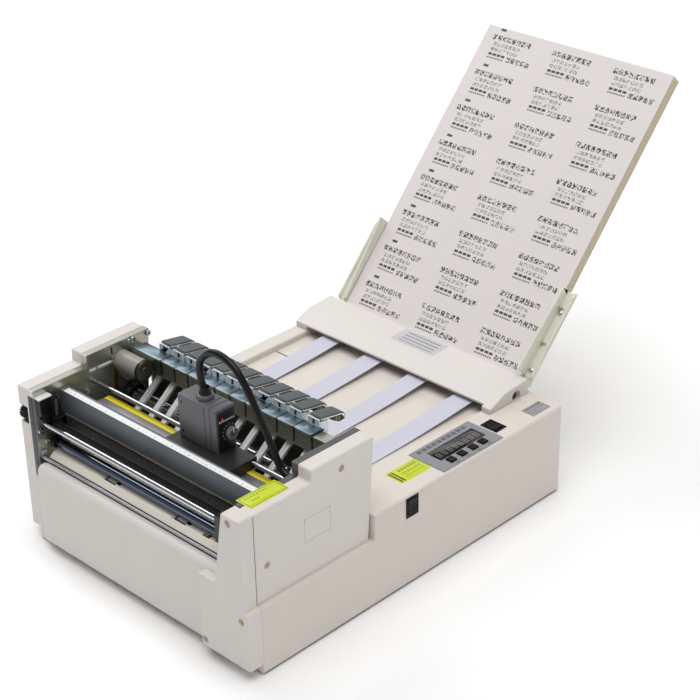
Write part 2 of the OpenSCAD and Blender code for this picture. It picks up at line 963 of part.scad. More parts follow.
cutter_z = tray_top + 1.8 + cutter_d / 2;
cutter_y = -160;
cutter_x = carriage_x - 3;
carriage_front = -168;
carriage_z = [95, 119];
strand_y = [belt_y - pulley_r - gap - belt_t, belt_y - pulley_r - gap];
carriage_back = strand_y[0] - 0.6;
bridge_top = bracket_low - 0.4;
bridge_r = drive_x - 3;
clamp_x = [carriage_x - 0.5, carriage_x + 2.5];
clamp_z = [belt_z[0] - 2, belt_z[1] + 3];

module cutter_carriage() {
    carriage_l = carriage_x - carriage_w / 2;
    carriage_r = carriage_x + carriage_w / 2;
    placed() color("dimgray")
        difference() {
            union() {
                block(
                    [carriage_l, carriage_front, carriage_z[0]],
                    [carriage_r, carriage_back, carriage_z[1]]
                );
                block(
                    [carriage_l, carriage_back - 1, carriage_z[0]],
                    [bridge_r, beam_y[0] - 1.5, bridge_top]
                );
                block(
                    [cutter_x - 5, carriage_front, cutter_z - 4],
                    [cutter_x + 5, cutter_y - 1.2, carriage_z[0] + 1]
                );
                // Clamp round the front strand of the belt
                block(
                    [clamp_x[0], carriage_back - 1, clamp_z[0]],
                    [clamp_x[1], strand_y[1] + 1.6, clamp_z[1]]
                );
            }
            block(
                [clamp_x[0] - 1, strand_y[0] - gap, belt_z[0] - gap],
                [clamp_x[1] + 1, strand_y[1] + gap, belt_z[1] + gap]
            );
            for (at = [rod_front, rod_back])
                rod_x(rod_d / 2 + 0.08, carriage_l - 1, carriage_r + 1, at);
            // Room above the round blade
            rod_y(cutter_d / 2 + 1, cutter_y - 1, cutter_y + 1, [cutter_x, cutter_z]);
        }
    placed() color("dimgray")
        rod_y(axle_r, cutter_y - 2, cutter_y + 1, [cutter_x, cutter_z]);
}

module cutter_blade() {
    placed() color("silver")
        difference() {
            rod_y(cutter_d / 2, cutter_y - 0.4, cutter_y + 0.4, [cutter_x, cutter_z]);
            rod_y(axle_r + fit, cutter_y - 1, cutter_y + 1, [cutter_x, cutter_z]);
        }
}

// Mark sensor

carriage_wide = [sensor_x - sensor_w / 2 - 6, sensor_x + sensor_w / 2 + 24];

module sensor_carriage() {
    placed() color("dimgray")
        difference() {
            block(
                [carriage_wide[0], beam_y[1] + gap, rail_z + gap],
                [carriage_wide[1], sensor_y[1] - 1, sensor_z]
            );
            rod_x(thin_rod_d / 2 + 0.08, carriage_wide[0] - 1, carriage_wide[1] + 1, sensor_rod);
        }
}

module sensor_head() {
    x0 = sensor_x - sensor_w / 2;
    x1 = sensor_x + sensor_w / 2;
    top = sensor_z + sensor_h;
    placed() color("dimgray") {
        along_x(x0, x1)
            polygon([
                [sensor_y[0], sensor_z], [sensor_y[1], sensor_z], [sensor_y[1], top - 1.5],
                [sensor_y[1] - 1.5, top], [sensor_y[0] + 1.5, top], [sensor_y[0], top - 1.5]
            ]);
        // Dial plate on the right face
        block([x1 - 1, sensor_y[0] + 1.5, sensor_z + 1.5], [x1 + 1.2, sensor_y[1] - 1.5, top - 2.5]);
        // Lead gland
        translate([sensor_x, lead_start[1], top - 1])
            cylinder(r = 7.5, h = gland_h + 1, $fn = 6);
    }
}

module sensor_knob() {
    placed() color("gray")
        difference() {
            rod_x(5, sensor_x + sensor_w / 2 + 1.5, sensor_x + sensor_w / 2 + 6, dial_at);
            // Screwdriver slot
            translate([sensor_x + sensor_w / 2 + 6, dial_at[0], dial_at[1]])
                cube([2, 1.4, 8], center = true);
        }
}

module sensor_cable() {
    inner = [
        for (i = [1 : len(lead_route) - 3], s = [0 : lead_steps - 1])
            curve(lead_route[i - 1], lead_route[i], lead_route[i + 1], lead_route[i + 2], s / lead_steps)
    ];
    placed() color("black")
        tube(concat(inner, [lead_end]), cable_d / 2, lead_sides);
}

// Knife levers, the row that is open to view:
// cap and web behind the bar, channel arm under it, blade in front

module knife_lever(i) {
    placed() color("gray")
        translate([knife_x[i], 0, 0]) {
            // Cap, a shell that curves down at the back
            along_x(-cap_w / 2, cap_w / 2)
                polygon([
                    [-53.9, 150.9], [-53.9, 153.2], [-53.2, 153.6], [-31.6, 149.7], [-29.2, 148.5],
                    [-27.6, 146.4], [-27, 144], [-27.3, 142], [-29.2, 141.3], [-29.7, 143.6],
                    [-31.6, 146.6], [-52.6, 150.6]
                ]);
            // Thumb block inside its back end
            along_x(-cap_w / 2 + 0.8, cap_w / 2 - 0.8)
                polygon([
                    [-42.5, 146.6], [-42.5, 149.2], [-31, 147.2], [-28.6, 143.6], [-28.8, 141.6],
                    [-33, 140.9], [-38, 143.6]
                ]);
            // Web between the ears, on its pin
            along_x(-ear_out + bracket_t + gap, ear_out - bracket_t - gap)
                polygon([[-52.6, 151.2], [-45, 149.7], [-44.5, 139], [-50, 136.5], [-53.6, 139]]);
            rod_x(pin_r, -ear_out - 0.6, ear_out + 0.6, pivot);
            // Channel arm
            difference() {
                along_x(-arm_w / 2, arm_w / 2)
                    polygon([
                        [-45.5, 138.6], [-50, 138.2], [-55, 133], [-68, 123.2], [-106, 94],
                        [-102, 88.8], [-64, 118], [-50, 128.7]
                    ]);
                along_x(-arm_w / 2 + 1.5, arm_w / 2 - 1.5)
                    polygon([[-65.1, 119.4], [-104, 89.5], [-110, 94.4], [-69, 127.4]]);
            }
            // Drag blade
            along_x(-blade_t / 2, blade_t / 2)
                polygon([[-95, 103], [-105.5, 95], [-111.5, 90.5], [-110, 88.4], [-106.5, 88.9], [-95, 96]]);
        }
}

module knife_lever_01() { knife_lever(0); }
module knife_lever_02() { knife_lever(1); }
module knife_lever_03() { knife_lever(2); }
module knife_lever_04() { knife_lever(3); }
module knife_lever_05() { knife_lever(4); }
module knife_lever_06() { knife_lever(5); }
module knife_lever_07() { knife_lever(6); }
module knife_lever_08() { knife_lever(7); }
module knife_lever_09() { knife_lever(8); }
module knife_lever_10() { knife_lever(9); }
module knife_lever_11() { knife_lever(10); }

// Feed end

head_top = [deck_h + 3.5, deck_h + 6, deck_h + 12.5, deck_h + 14.6];

module feed_head() {
    placed() color("ivory")
        difference() {
            along_x(head_l, head_r)
                polygon([
                    [127, deck_h], [178, deck_h], [178, head_top[3] - 1.5], [176.5, head_top[3]],
                    [147, head_top[2]], [132, head_top[1]], [127, head_top[0] + 1.5]
                ]);
            // Hollow over the channel, open below and behind
            along_x(head_end_l, head_end_r)
                polygon([
                    [126, deck_h - 1], [180, deck_h - 1], [180, head_top[3] - wall],
                    [147, head_top[2] - wall], [136, head_top[1] - wall + 1],
                    [131, head_top[0] - 0.2], [126, head_top[0] - 0.2]
                ]);
            // Front set back, all but the right end block
            along_x(head_l - 1, head_end_r)
                translate([126, deck_h - 1])
                    square([5, head_top[1] + 6 - deck_h]);
            rod_x(pickup_shaft_r + fit, head_l + 3, head_r + 1, pickup_at);
            rod_x(5.5, head_r - 3, head_r + 1, pickup_at);
        }
}

// Flat on the channel floor at the front, lifting in a curve towards the head
strap_steps = 14;
strap_line = [
    for (i = [0 : strap_steps])
        let (t = i / strap_steps)
        [
            strap_low[0] + (strap_high[0] - strap_low[0]) * t,
            strap_low[1] + (strap_high[1] - strap_low[1]) * pow(t, 2.2)
        ]
];

module feed_straps() {
    placed() color("lavender")
        for (x = strap_x)
            along_x(x - strap_w / 2, x + strap_w / 2)
                polygon(concat(
                    strap_line,
                    [for (i = [strap_steps : -1 : 0]) strap_line[i] + [0, strap_t]]
                ));
}

hopper_l = [path_x - 97, path_x + 97];
hopper_long = sheet_l - 60;

module hopper_plate() {
    placed() color("ivory") {
        in_hopper(hopper_l[0], hopper_l[1])
            polygon([
                [-wall, 2], [0, 2], [0, stack_t], [hopper_long, stack_t],
                [hopper_long, stack_t + wall], [-wall, stack_t + wall]
            ]);
        // Two ribs that carry the hopper on the back of the base
        for (x = [path_x - 63, path_x + 57])
            difference() {
                along_x(x, x + 6)
                    polygon([
                        [base_rear, 40], [base_rear + 10, 40], [base_rear + 62, deck_h + 52],
                        [base_rear + 20, deck_h + 40], [base_rear, deck_h - 4]
                    ]);
                in_hopper(x - 1, x + 7)
                    translate([-100, stack_t - 100])
                        square([400, 100 + wall - 0.5]);
            }
    }
}

module label_stack() {
    placed() color("white")
        in_hopper(path_x - sheet_w / 2, path_x + sheet_w / 2)
            square([sheet_l, stack_t]);
}

// Wall that stands out beside the stack, the flange outside it with a rim, and the slide behind the plate
module side_guide(low, high) {
    back = stack_t + wall + gap;
    x0 = sheet_w / 2 + guide_gap;
    in_hopper(x0, x0 + guide_t)
        polygon([
            [5, -low], [87, -high], [87, 8], [78, back + 2], [-2, back + 2], [-2, 4], [5, -2]
        ]);
    in_hopper(x0 + guide_t - 0.5, x0 + flange_w)
        translate([3, 1])
            square([83, guide_t]);
    in_hopper(x0 + flange_w - 2, x0 + flange_w)
        polygon([[5, -2], [82, -2], [87, 3], [87, 1 + guide_t], [3, 1 + guide_t], [3, 1]]);
    // Gussets between the wall and the flange
    for (s = guide_gusset, k = [0 : 4])
        in_hopper(x0 + guide_t - 0.5 + k, x0 + guide_t + 0.5 + k)
            translate([s, k * 1.1 - 4.5])
                square([1.6, 6 - k * 1.1]);
    in_hopper(sheet_w / 2 - 30, x0 + 1)
        translate([30, back])
            square([40, 2]);
}

module right_guide() {
    placed() color("ivory")
        translate([path_x, 0, 0])
            side_guide(right_proud[0], right_proud[1]);
}

module left_guide() {
    placed() color("ivory")
        translate([path_x, 0, 0])
            mirror([1, 0, 0])
                side_guide(left_proud[0], left_proud[1]);
}

// Operator's controls

module control_panel() {
    placed() color("gray")
        difference() {
            block([panel_l, panel_y[0], deck_h], [panel_r, panel_y[1], deck_h + panel_t]);
            block([display_x[0], display_y[0], deck_h - 1], [display_x[1], display_y[1], deck_h + 2]);
            for (y = button_y)
                translate([button_x, y, deck_h])
                    cube([button_s + 2 * gap, button_s + 2 * gap, 4], center = true);
        }
}

module circuit_board() {
    placed() color("darkgreen") {
        block([panel_l + gap, panel_y[0], board_z], [panel_r, panel_y[1], board_z + 1.6]);
        // Display module that stands up into the panel's window
        block(
            [display_x[0] + gap, display_y[0] + gap, board_z + 1],
            [display_x[1] - gap, display_y[1] - gap, deck_h + 0.2]
        );
        for (y = button_y)
            translate([button_x, y, board_z + 3])
                cube([5, 5, 4], center = true);
    }
}

module button(i) {
    placed() color("black")
        translate([button_x - button_s / 2, button_y[i] - button_s / 2, board_z + 6.3])
            cube([button_s, button_s, deck_h + 2 - board_z - 6.3]);
}

module button_1() { button(0); }
module button_2() { button(1); }
module button_3() { button(2); }
module button_4() { button(3); }

// Rocker seen from its side: pivot at the middle, outer face towards +Y
module rocker_2d(half) {
    polygon([
        [-half + 1.1, 5.5], [0, 4.4], [half - 1.1, 5.5], [half - gap, 0],
        [half - 1.6, -3.5], [-half + 1.6, -3.5], [-half + gap, 0]
    ]);
}

module top_switch() {
    y0 = top_switch_at[1] - top_switch_s[1] / 2;
    y1 = top_switch_at[1] + top_switch_s[1] / 2;
    placed() color("black") {
        along_y(y0 + gap, y1 - gap)
            translate([top_switch_at[0], deck_h - 4])
                rocker_2d(top_switch_s[0] / 2);
        rod_y(rocker_pin_r, y0 - rocker_lug + gap, y1 + rocker_lug - gap, [top_switch_at[0], deck_h - 4]);
    }
}

module side_switch() {
    y0 = side_switch_at[0] - side_switch_s[0] / 2;
    y1 = side_switch_at[0] + side_switch_s[0] / 2;
    placed() color("black") {
        along_y(y0 + gap, y1 - gap)
            translate([base_right - 4, side_switch_at[1]])
                rotate(-90)
                    rocker_2d(side_switch_s[1] / 2);
        rod_y(
            rocker_pin_r, y0 - rocker_lug + gap, y1 + rocker_lug - gap, [base_right - 4, side_switch_at[1]]
        );
    }
}

base_housing();
bottom_plate();
rubber_feet();
front_cover();
left_side_cover();
right_side_cover();
left_frame_plate();
right_frame_plate();
cover_screws();
knife_bar();
knife_brackets();
ruler_beam();
sensor_rail();
guide_rods();
exit_tray();
pulley_bracket();
drive_belts();
feed_head();
hopper_plate();
label_stack();
control_panel();
circuit_board();
feed_motor();
cutter_motor();
feed_straps();
sensor_cable();
feed_roller();
pressure_roller();
motor_pinion();
anvil_roller();
exit_roller();
idler_wheels();
pickup_roller();
cutter_carriage();
cutter_blade();
drive_pulley();
idler_pulley();
tension_knob();
sensor_carriage();
sensor_head();
sensor_knob();
button_1();
button_2();
button_3();
button_4();
top_switch();
side_switch();
left_guide();
right_guide();
knife_lever_01();
knife_lever_02();
knife_lever_03();
knife_lever_04();
knife_lever_05();
knife_lever_06();
knife_lever_07();
knife_lever_08();
knife_lever_09();
knife_lever_10();
knife_lever_11();
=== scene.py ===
import json
from math import cos, pi, radians, sin

import bpy
from mathutils import Matrix, Vector

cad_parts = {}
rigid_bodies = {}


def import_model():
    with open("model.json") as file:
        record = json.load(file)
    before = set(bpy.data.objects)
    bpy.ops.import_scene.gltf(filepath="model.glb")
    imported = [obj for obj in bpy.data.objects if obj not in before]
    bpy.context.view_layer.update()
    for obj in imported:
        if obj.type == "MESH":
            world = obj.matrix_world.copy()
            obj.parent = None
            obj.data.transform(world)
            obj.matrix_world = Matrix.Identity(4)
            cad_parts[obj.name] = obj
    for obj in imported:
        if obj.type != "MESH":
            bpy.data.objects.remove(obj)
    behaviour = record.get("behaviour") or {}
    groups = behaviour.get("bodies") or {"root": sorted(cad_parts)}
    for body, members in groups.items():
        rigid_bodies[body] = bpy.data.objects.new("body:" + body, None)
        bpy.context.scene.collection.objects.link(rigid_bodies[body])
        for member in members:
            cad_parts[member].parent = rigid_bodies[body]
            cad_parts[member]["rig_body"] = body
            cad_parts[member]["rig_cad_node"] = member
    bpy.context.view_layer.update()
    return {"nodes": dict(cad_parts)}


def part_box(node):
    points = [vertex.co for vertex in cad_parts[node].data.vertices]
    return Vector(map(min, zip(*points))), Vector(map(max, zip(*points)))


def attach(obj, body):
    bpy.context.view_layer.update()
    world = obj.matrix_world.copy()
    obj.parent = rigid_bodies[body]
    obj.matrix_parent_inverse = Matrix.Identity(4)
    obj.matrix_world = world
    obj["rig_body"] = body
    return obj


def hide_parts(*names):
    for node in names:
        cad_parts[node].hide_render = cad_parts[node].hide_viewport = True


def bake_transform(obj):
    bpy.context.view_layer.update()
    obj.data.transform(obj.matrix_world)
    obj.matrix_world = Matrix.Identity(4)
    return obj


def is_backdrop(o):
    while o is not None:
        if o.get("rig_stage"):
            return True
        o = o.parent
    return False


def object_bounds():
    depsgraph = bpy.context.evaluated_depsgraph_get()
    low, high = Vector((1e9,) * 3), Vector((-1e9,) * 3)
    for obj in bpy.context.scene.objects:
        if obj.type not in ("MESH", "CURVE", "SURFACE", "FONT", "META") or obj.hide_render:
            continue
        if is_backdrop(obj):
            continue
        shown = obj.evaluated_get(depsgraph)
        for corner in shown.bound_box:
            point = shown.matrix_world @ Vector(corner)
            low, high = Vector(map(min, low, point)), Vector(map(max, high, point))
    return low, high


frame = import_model()
bpy.ops.object.select_all(action="DESELECT")

# Studio: a pale floor under one broad soft light overhead, with weak fills from the right and the front.
# Two panels, behind and to the left, are there to be seen in the bright metal. The camera stands where the
# photograph was taken from, with a slightly wider lens, so that the whole stack fits.
middle_x, middle_y = 2.25, 99.88017  # the middle of the object, in the drawing's millimetres


def at(x, y, z):
    """A point of the drawing, in millimetres, as a point of the scene, in metres."""
    return Vector(((x - middle_x) / 1000, (y - middle_y) / 1000, z / 1000))


def paint(red, green, blue):
    """A colour as a screen shows it, 0 to 255, as the linear colour that a shader takes."""
    return tuple(((c / 255 + 0.055) / 1.055) ** 2.4 for c in (red, green, blue)) + (1.0,)


scene = bpy.context.scene
scene.view_settings.view_transform = "Standard"
yaw, pitch, lean = radians(45.17), radians(29.18), radians(1.35)
forward = Vector((-sin(yaw) * cos(pitch), cos(yaw) * cos(pitch), -sin(pitch)))
level = forward.cross(Vector((0, 0, 1))).normalized()
down = forward.cross(level)
camera = bpy.data.objects.new("camera", bpy.data.cameras.new("camera"))
camera.matrix_world = Matrix.Translation(at(992.1, -928.4, 888.5)) @ Matrix((
    level * cos(lean) + down * sin(lean), level * sin(lean) - down * cos(lean), -forward
)).transposed().to_4x4()
camera.data.lens = 96.8
camera.data.shift_x = 0.0177
camera.data.shift_y = 0.0403
scene.collection.objects.link(camera)
scene.camera = camera


class Wire:
    """A socket in a material. Arithmetic on it adds the Math nodes that a person would wire up."""

    def __init__(self, tree, socket=None):
        self.tree = tree
        self.socket = socket

    def node(self, kind, settings=None, sockets=None, output=0):
        """Adds a node, sets it, feeds its sockets with values or wires, and gives one of its outputs."""
        made = self.tree.nodes.new("ShaderNode" + kind)
        for name, value in (settings or {}).items():
            if name == "stops":
                while len(made.color_ramp.elements) < len(value):
                    made.color_ramp.elements.new(0.5)
                for stop, (place, colour) in zip(made.color_ramp.elements, value):
                    stop.position = place
                    stop.color = colour
            else:
                setattr(made, name, value)
        for name, value in (sockets or {}).items():
            if isinstance(value, Wire):
                self.tree.links.new(value.socket, made.inputs[name])
            else:
                made.inputs[name].default_value = value
        return Wire(self.tree, made.outputs[output])

    def math(self, operation, *values):
        return self.node("Math", {"operation": operation}, dict(enumerate(values)))

    def __add__(self, other):
        return self.math("ADD", self, other)

    __radd__ = __add__

    def __sub__(self, other):
        return self.math("SUBTRACT", self, other)

    def __rsub__(self, other):
        return self.math("SUBTRACT", other, self)

    def __mul__(self, other):
        return self.math("MULTIPLY", self, other)

    __rmul__ = __mul__

    def __truediv__(self, other):
        return self.math("DIVIDE", self, other)

    def __lt__(self, other):
        return self.math("LESS_THAN", self, other)

    def __gt__(self, other):
        return self.math("GREATER_THAN", self, other)

    def most(self, other):
        """The larger of two values, such as two prints on one film."""
        return self.math("MAXIMUM", self, other)

    def fraction(self):
        """How far into its cell a value is, from 0 to 1."""
        return self.math("FRACT", self)

    def mix(self, first, second):
        """This wire as a factor between two colours."""
        return self.node("Mix", {"data_type": "RGBA"}, {0: self, 6: first, 7: second}, 2)


def new_finish(name, roughness=0.5, metallic=0.0):
    """A bare material, its shader, and a wire with the object's own coordinates."""
    material = bpy.data.materials.new(name)
    material.use_nodes = True
    shader = material.node_tree.nodes["Principled BSDF"]
    shader.inputs["Roughness"].default_value = roughness
    shader.inputs["Metallic"].default_value = metallic
    return material, shader, Wire(material.node_tree).node("TexCoord", output="Object")


def feed(shader, name, wire):
    """Leads a wire into one of the shader's sockets."""
    wire.tree.links.new(wire.socket, shader.inputs[name])


def noise(where, scale, detail=2.0):
    """Soft noise of that many grains to the metre."""
    return where.node("TexNoise", None, {"Vector": where, "Scale": scale, "Detail": detail})


bpy.ops.mesh.primitive_plane_add(size=14)
floor = bpy.context.object
floor.name = "floor"
material, shader, where = new_finish("pale floor", 0.55)
feed(shader, "Base Color", noise(where, 3.0).mix(paint(250, 250, 250), paint(254, 254, 254)))
floor.data.materials.append(material)
floor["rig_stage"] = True

sun = bpy.data.objects.new("key light", bpy.data.lights.new("key light", "SUN"))
sun.data.energy = 2.1
sun.data.angle = radians(60)
sun.rotation_euler = (radians(3), radians(7), 0)
scene.collection.objects.link(sun)
aim = Vector((0, -0.1, 0.1))
for name, place, wide, tall, power in (
    ("right fill", (2.4, 0.1, 1.0), 1.6, 0.7, 2.6), ("front fill", (0.5, -2.3, 1.5), 1.2, 0.5, 1.0),
    ("back panel", (-2.3, 2.2, 1.9), 2.2, 0.9, 7), ("left panel", (-1.75, 0.1, 1.9), 1.1, 1.5, 16),
):
    lamp = bpy.data.objects.new(name, bpy.data.lights.new(name, "AREA"))
    lamp.data.shape = "RECTANGLE"
    lamp.data.size = wide
    lamp.data.size_y = tall
    lamp.data.energy = power
    lamp.location = place
    lamp.rotation_euler = (aim - Vector(place)).to_track_quat("-Z", "Y").to_euler()
    scene.collection.objects.link(lamp)
world = bpy.data.worlds.new("studio")
world.use_nodes = True
scene.world = world
sky = Wire(world.node_tree).node("TexCoord", output="Generated")
height = sky.node("SeparateXYZ", None, {0: sky}, 2)
tone = height.node("ValToRGB", {"stops": [
    (0.0, (0.45, 0.45, 0.45, 1)), (0.3, (0.62, 0.62, 0.62, 1)), (0.52, (0.6, 0.6, 0.6, 1)),
    (0.62, (0.14, 0.14, 0.15, 1)), (0.78, (0.2, 0.2, 0.21, 1)), (1.0, (1.0, 1.0, 1.0, 1)),
]}, {0: height})
backdrop = world.node_tree.nodes["Background"]
world.node_tree.links.new(tone.socket, backdrop.inputs["Color"])
backdrop.inputs["Strength"].default_value = 0.5

# Sensor lead: a round black rubber lead, screwed into the gland on the mark sensor. It rises, arches over
# the rail and enters the right side plate through a grommet, with slack for the sensor's whole travel.


def alone(piece):
    """Selects that piece only, ready for an operator."""
    bpy.ops.object.select_all(action="DESELECT")
    piece.select_set(True)
    bpy.context.view_layer.objects.active = piece


def smooth(piece, angle=35):
    """Shades curved faces smooth and keeps true edges crisp."""
    alone(piece)
    bpy.ops.object.shade_smooth_by_angle(angle=radians(angle))


def lathe(name, centre, outline, axis="x", steps=64):
    """Turns a half outline of (place along the axis, radius) points into a round piece."""
    bpy.ops.object.select_all(action="DESELECT")
    bpy.ops.mesh.primitive_circle_add(vertices=len(outline), fill_type="NOTHING")
    piece = bpy.context.object
    piece.name = name
    middle = Vector(centre)
    lead, out = {"x": ((1, 0, 0), (0, 0, 1)), "y": ((0, 1, 0), (0, 0, 1)), "z": ((0, 0, 1), (1, 0, 0))}[axis]
    for vertex, (place, radius) in zip(piece.data.vertices, outline):
        vertex.co = at(*(middle + Vector(lead) * place + Vector(out) * radius))
    bpy.ops.object.mode_set(mode="EDIT")
    bpy.ops.mesh.select_all(action="SELECT")
    bpy.ops.mesh.spin(steps=steps, angle=2 * pi, center=at(*middle), axis=lead)
    bpy.ops.mesh.select_all(action="SELECT")
    bpy.ops.mesh.remove_doubles(threshold=1e-6)
    bpy.ops.mesh.dissolve_degenerate(threshold=1e-6)
    bpy.ops.mesh.normals_make_consistent(inside=False)
    bpy.ops.object.mode_set(mode="OBJECT")
    smooth(piece)
    return piece


def give(piece, body, slot, material, *stands_for):
    """Finishes a piece: its material, the body it rides on, its slot (not used) and the drawn parts it stands
    for.
    """
    piece.data.materials.clear()
    piece.data.materials.append(material)
    if body:
        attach(piece, body)
    if stands_for:
        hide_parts(*stands_for)
    return piece


def shade(colour, part, lift=0.0):
    """The same colour, darker or lighter."""
    return tuple(c * part + lift for c in colour[:3]) + (1.0,)


def rubber(name, colour, roughness=0.55, shine=0.5):
    """Rubber or soft black plastic with a fine bloom on it."""
    material, shader, where = new_finish(name)
    shader.inputs["Specular IOR Level"].default_value = shine
    cloud = noise(where, 60.0, 4.0)
    feed(shader, "Base Color", cloud.mix(colour, shade(colour, 1.7, 0.004)))
    feed(shader, "Roughness", cloud * 0.2 + (roughness - 0.1))
    feed(shader, "Normal", where.node("Bump", None, {
        "Strength": 0.12, "Distance": 0.0002, "Height": noise(where, 1800.0),
    }))
    return material


lead_rubber = rubber("black lead rubber", paint(5, 5, 6), 0.3, 0.3)
route = [
    (26, -112, 162), (26, -112, 174), (22, -112, 186), (23, -112, 202), (36, -112, 213), (49, -112, 214),
    (62, -112, 209), (75, -112, 195), (87, -112, 176), (97, -111, 157), (104, -110, 142), (112, -110, 135.1),
    (121, -110, 135.1), (129, -110, 135.1),
]
lead_path = []
for a, b, c, d in zip(route, route[1:], route[2:], route[3:]):
    a, b, c, d = at(*a), at(*b), at(*c), at(*d)
    for step in range(8):
        t = step / 8
        lead_path.append(0.5 * (
            2 * b + (c - a) * t + (2 * a - 5 * b + 4 * c - d) * t ** 2 + (3 * b - a - 3 * c + d) * t ** 3
        ))
lead_path.append(at(*route[-2]))
lead_thick = 0.006
lead_curve = bpy.data.curves.new("sensor lead", "CURVE")
lead_curve.dimensions = "3D"
lead_curve.bevel_depth = lead_thick / 2
lead_curve.bevel_resolution = 6
lead_curve.use_fill_caps = True
spline = lead_curve.splines.new("POLY")
spline.points.add(len(lead_path) - 1)
for point, place in zip(spline.points, lead_path):
    point.co = (*place, 1.0)
lead = bpy.data.objects.new("sensor_lead", lead_curve)
scene.collection.objects.link(lead)
alone(lead)
bpy.ops.object.convert(target="MESH")
lead = bpy.context.object
smooth(lead, 60)
give(lead, None, "black_rubber", lead_rubber, "sensor_cable")
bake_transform(lead)
lead_length = sum((b - a).length for a, b in zip(lead_path, lead_path[1:]))
give(lathe("lead_boot", (26, -112, 174), [
    (0, 3.1), (0, 4.9), (1.2, 5.0), (2, 4.6), (3, 4.6), (3.6, 4.2), (4.6, 4.2), (5.2, 3.9), (6, 3.8),
    (6.2, 3.1),
], "z"), "sensor", "black_rubber", lead_rubber)
give(lathe("lead_grommet", (121, -110, 135.1), [
    (-2.2, 3.1), (-2.2, 4.6), (-1.6, 5.4), (-0.2, 5.6), (-0.2, 3.1),
], "x"), "machine", "black_rubber", lead_rubber)

# Base housing: one large ivory moulding with the feed deck, the feed channel and the ledge for the cutter
# frame. Its outer edges are rounded, and it stands on a steel bottom plate with four rubber feet.


def even(piece, angle=35):
    """Smooth shading that leaves the large faces looking flat."""
    smooth(piece, angle)
    weighted = piece.modifiers.new("even", "WEIGHTED_NORMAL")
    weighted.keep_sharp = True
    bpy.ops.object.modifier_apply(modifier="even")
    return piece


def skin(node, name, edge, steps=2, angle=28, flat=True, spare=()):
    """A copy of a drawn part with its edges rounded off, all but those near the spared points."""
    piece = frame["nodes"][node].copy()
    piece.data = piece.data.copy()
    piece.name = name
    piece.parent = None
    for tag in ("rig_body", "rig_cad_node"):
        if tag in piece:
            del piece[tag]
    scene.collection.objects.link(piece)
    alone(piece)
    bpy.ops.mesh.customdata_custom_splitnormals_clear()
    bpy.ops.object.mode_set(mode="EDIT")
    bpy.ops.mesh.select_mode(type="EDGE")
    bpy.ops.mesh.select_all(action="SELECT")
    bpy.ops.mesh.remove_doubles(threshold=1e-6)
    if flat:
        bpy.ops.mesh.dissolve_limited(angle_limit=radians(0.4))
    bpy.ops.mesh.normals_make_consistent(inside=False)
    if edge:
        bpy.ops.mesh.select_all(action="DESELECT")
        bpy.ops.mesh.edges_select_sharp(sharpness=radians(angle))
        bpy.ops.object.mode_set(mode="OBJECT")
        corners = piece.data.vertices
        for line in piece.data.edges:
            ends = [corners[v].co for v in line.vertices]
            if line.select and any(
                max((end - at(*spot)).length for end in ends) < reach / 1000 for spot, reach in spare
            ):
                line.select = False
        bpy.ops.object.mode_set(mode="EDIT")
        bpy.ops.mesh.bevel(offset=edge / 1000, segments=steps, affect="EDGES", clamp_overlap=False)
    bpy.ops.mesh.select_mode(type="VERT")
    bpy.ops.object.mode_set(mode="OBJECT")
    return even(piece, min(40, angle + 2))


def moulded(name, colour, roughness=0.42, grain=0.1):
    """Moulded plastic: a fine eroded grain and a faint cloudiness of tone."""
    material, shader, where = new_finish(name)
    cloud = noise(where, 16.0, 4.0)
    feed(shader, "Base Color", cloud.mix(shade(colour, 0.92), colour))
    feed(shader, "Roughness", cloud * 0.12 + (roughness - 0.06))
    feed(shader, "Normal", where.node("Bump", None, {
        "Strength": grain, "Distance": 0.0002, "Height": noise(where, 1600.0),
    }))
    return material


def dress(node, name, body, slot, material, *shape):
    """Makes a skin for a drawn part, which then stands for it."""
    return give(skin(node, name, *shape), body, slot, material, node)


ivory = moulded("ivory moulding", paint(223, 215, 206), 0.38)
dress("base_housing", "housing", "machine", "ivory_plastic", ivory, 1.6, 3, 28, False)


def plated(name, colour, roughness=0.3, stretch=(1, 1, 1), depth=0.02, metal=1.0):
    """Plated or brushed metal: fine lines drawn out one way, and broad soft stains."""
    material, shader, where = new_finish(name, roughness, metal)
    drawn = where.node("VectorMath", {"operation": "MULTIPLY"}, {0: where, 1: stretch})
    lines = noise(drawn, 900.0, 3.0)
    stain = noise(where, 26.0, 4.0)
    feed(shader, "Base Color", stain.mix(shade(colour, 0.78), shade(colour, 1.15)))
    feed(shader, "Roughness", lines * 0.1 + stain * 0.1 + (roughness - 0.1))
    feed(shader, "Normal", where.node("Bump", None, {
        "Strength": depth, "Distance": 0.0002, "Height": lines,
    }))
    return material


zinc = plated("zinc plate", paint(166, 172, 176), 0.34, (0.05, 1, 1))
dress("bottom_plate", "floor_plate", "machine", "zinc_sheet", zinc, 0)
foot_rubber = rubber("foot rubber", paint(30, 30, 31))
dress("rubber_feet", "feet", "machine", "black_rubber", foot_rubber, 0.4)

# Cutter frame: two thick side plates of grey plated steel that stand on the ledge and carry every roller,
# rod and bar between them. Edges are broken, and screws with round heads hold the cross pieces. The left
# plate's inner face has white guide strips, a slot and a yellow zinc strap.
plate_steel = plated("grey plate steel", paint(196, 196, 186), 0.32, (1, 0.04, 1))
dull_steel = plated("dull plate steel", paint(116, 117, 116), 0.42, (1, 0.04, 1))
for side, steel in (("left", plate_steel), ("right", dull_steel)):
    dress(side + "_frame_plate", side + "_plate", "machine", "frame_steel", steel, 0.6)


def copy_of(piece, name, shift):
    """A copy with a mesh of its own, moved by that many millimetres."""
    twin = piece.copy()
    twin.data = piece.data.copy()
    twin.name = name
    twin.parent = None
    twin.data.transform(Matrix.Translation(Vector(shift) / 1000))
    scene.collection.objects.link(twin)
    return twin


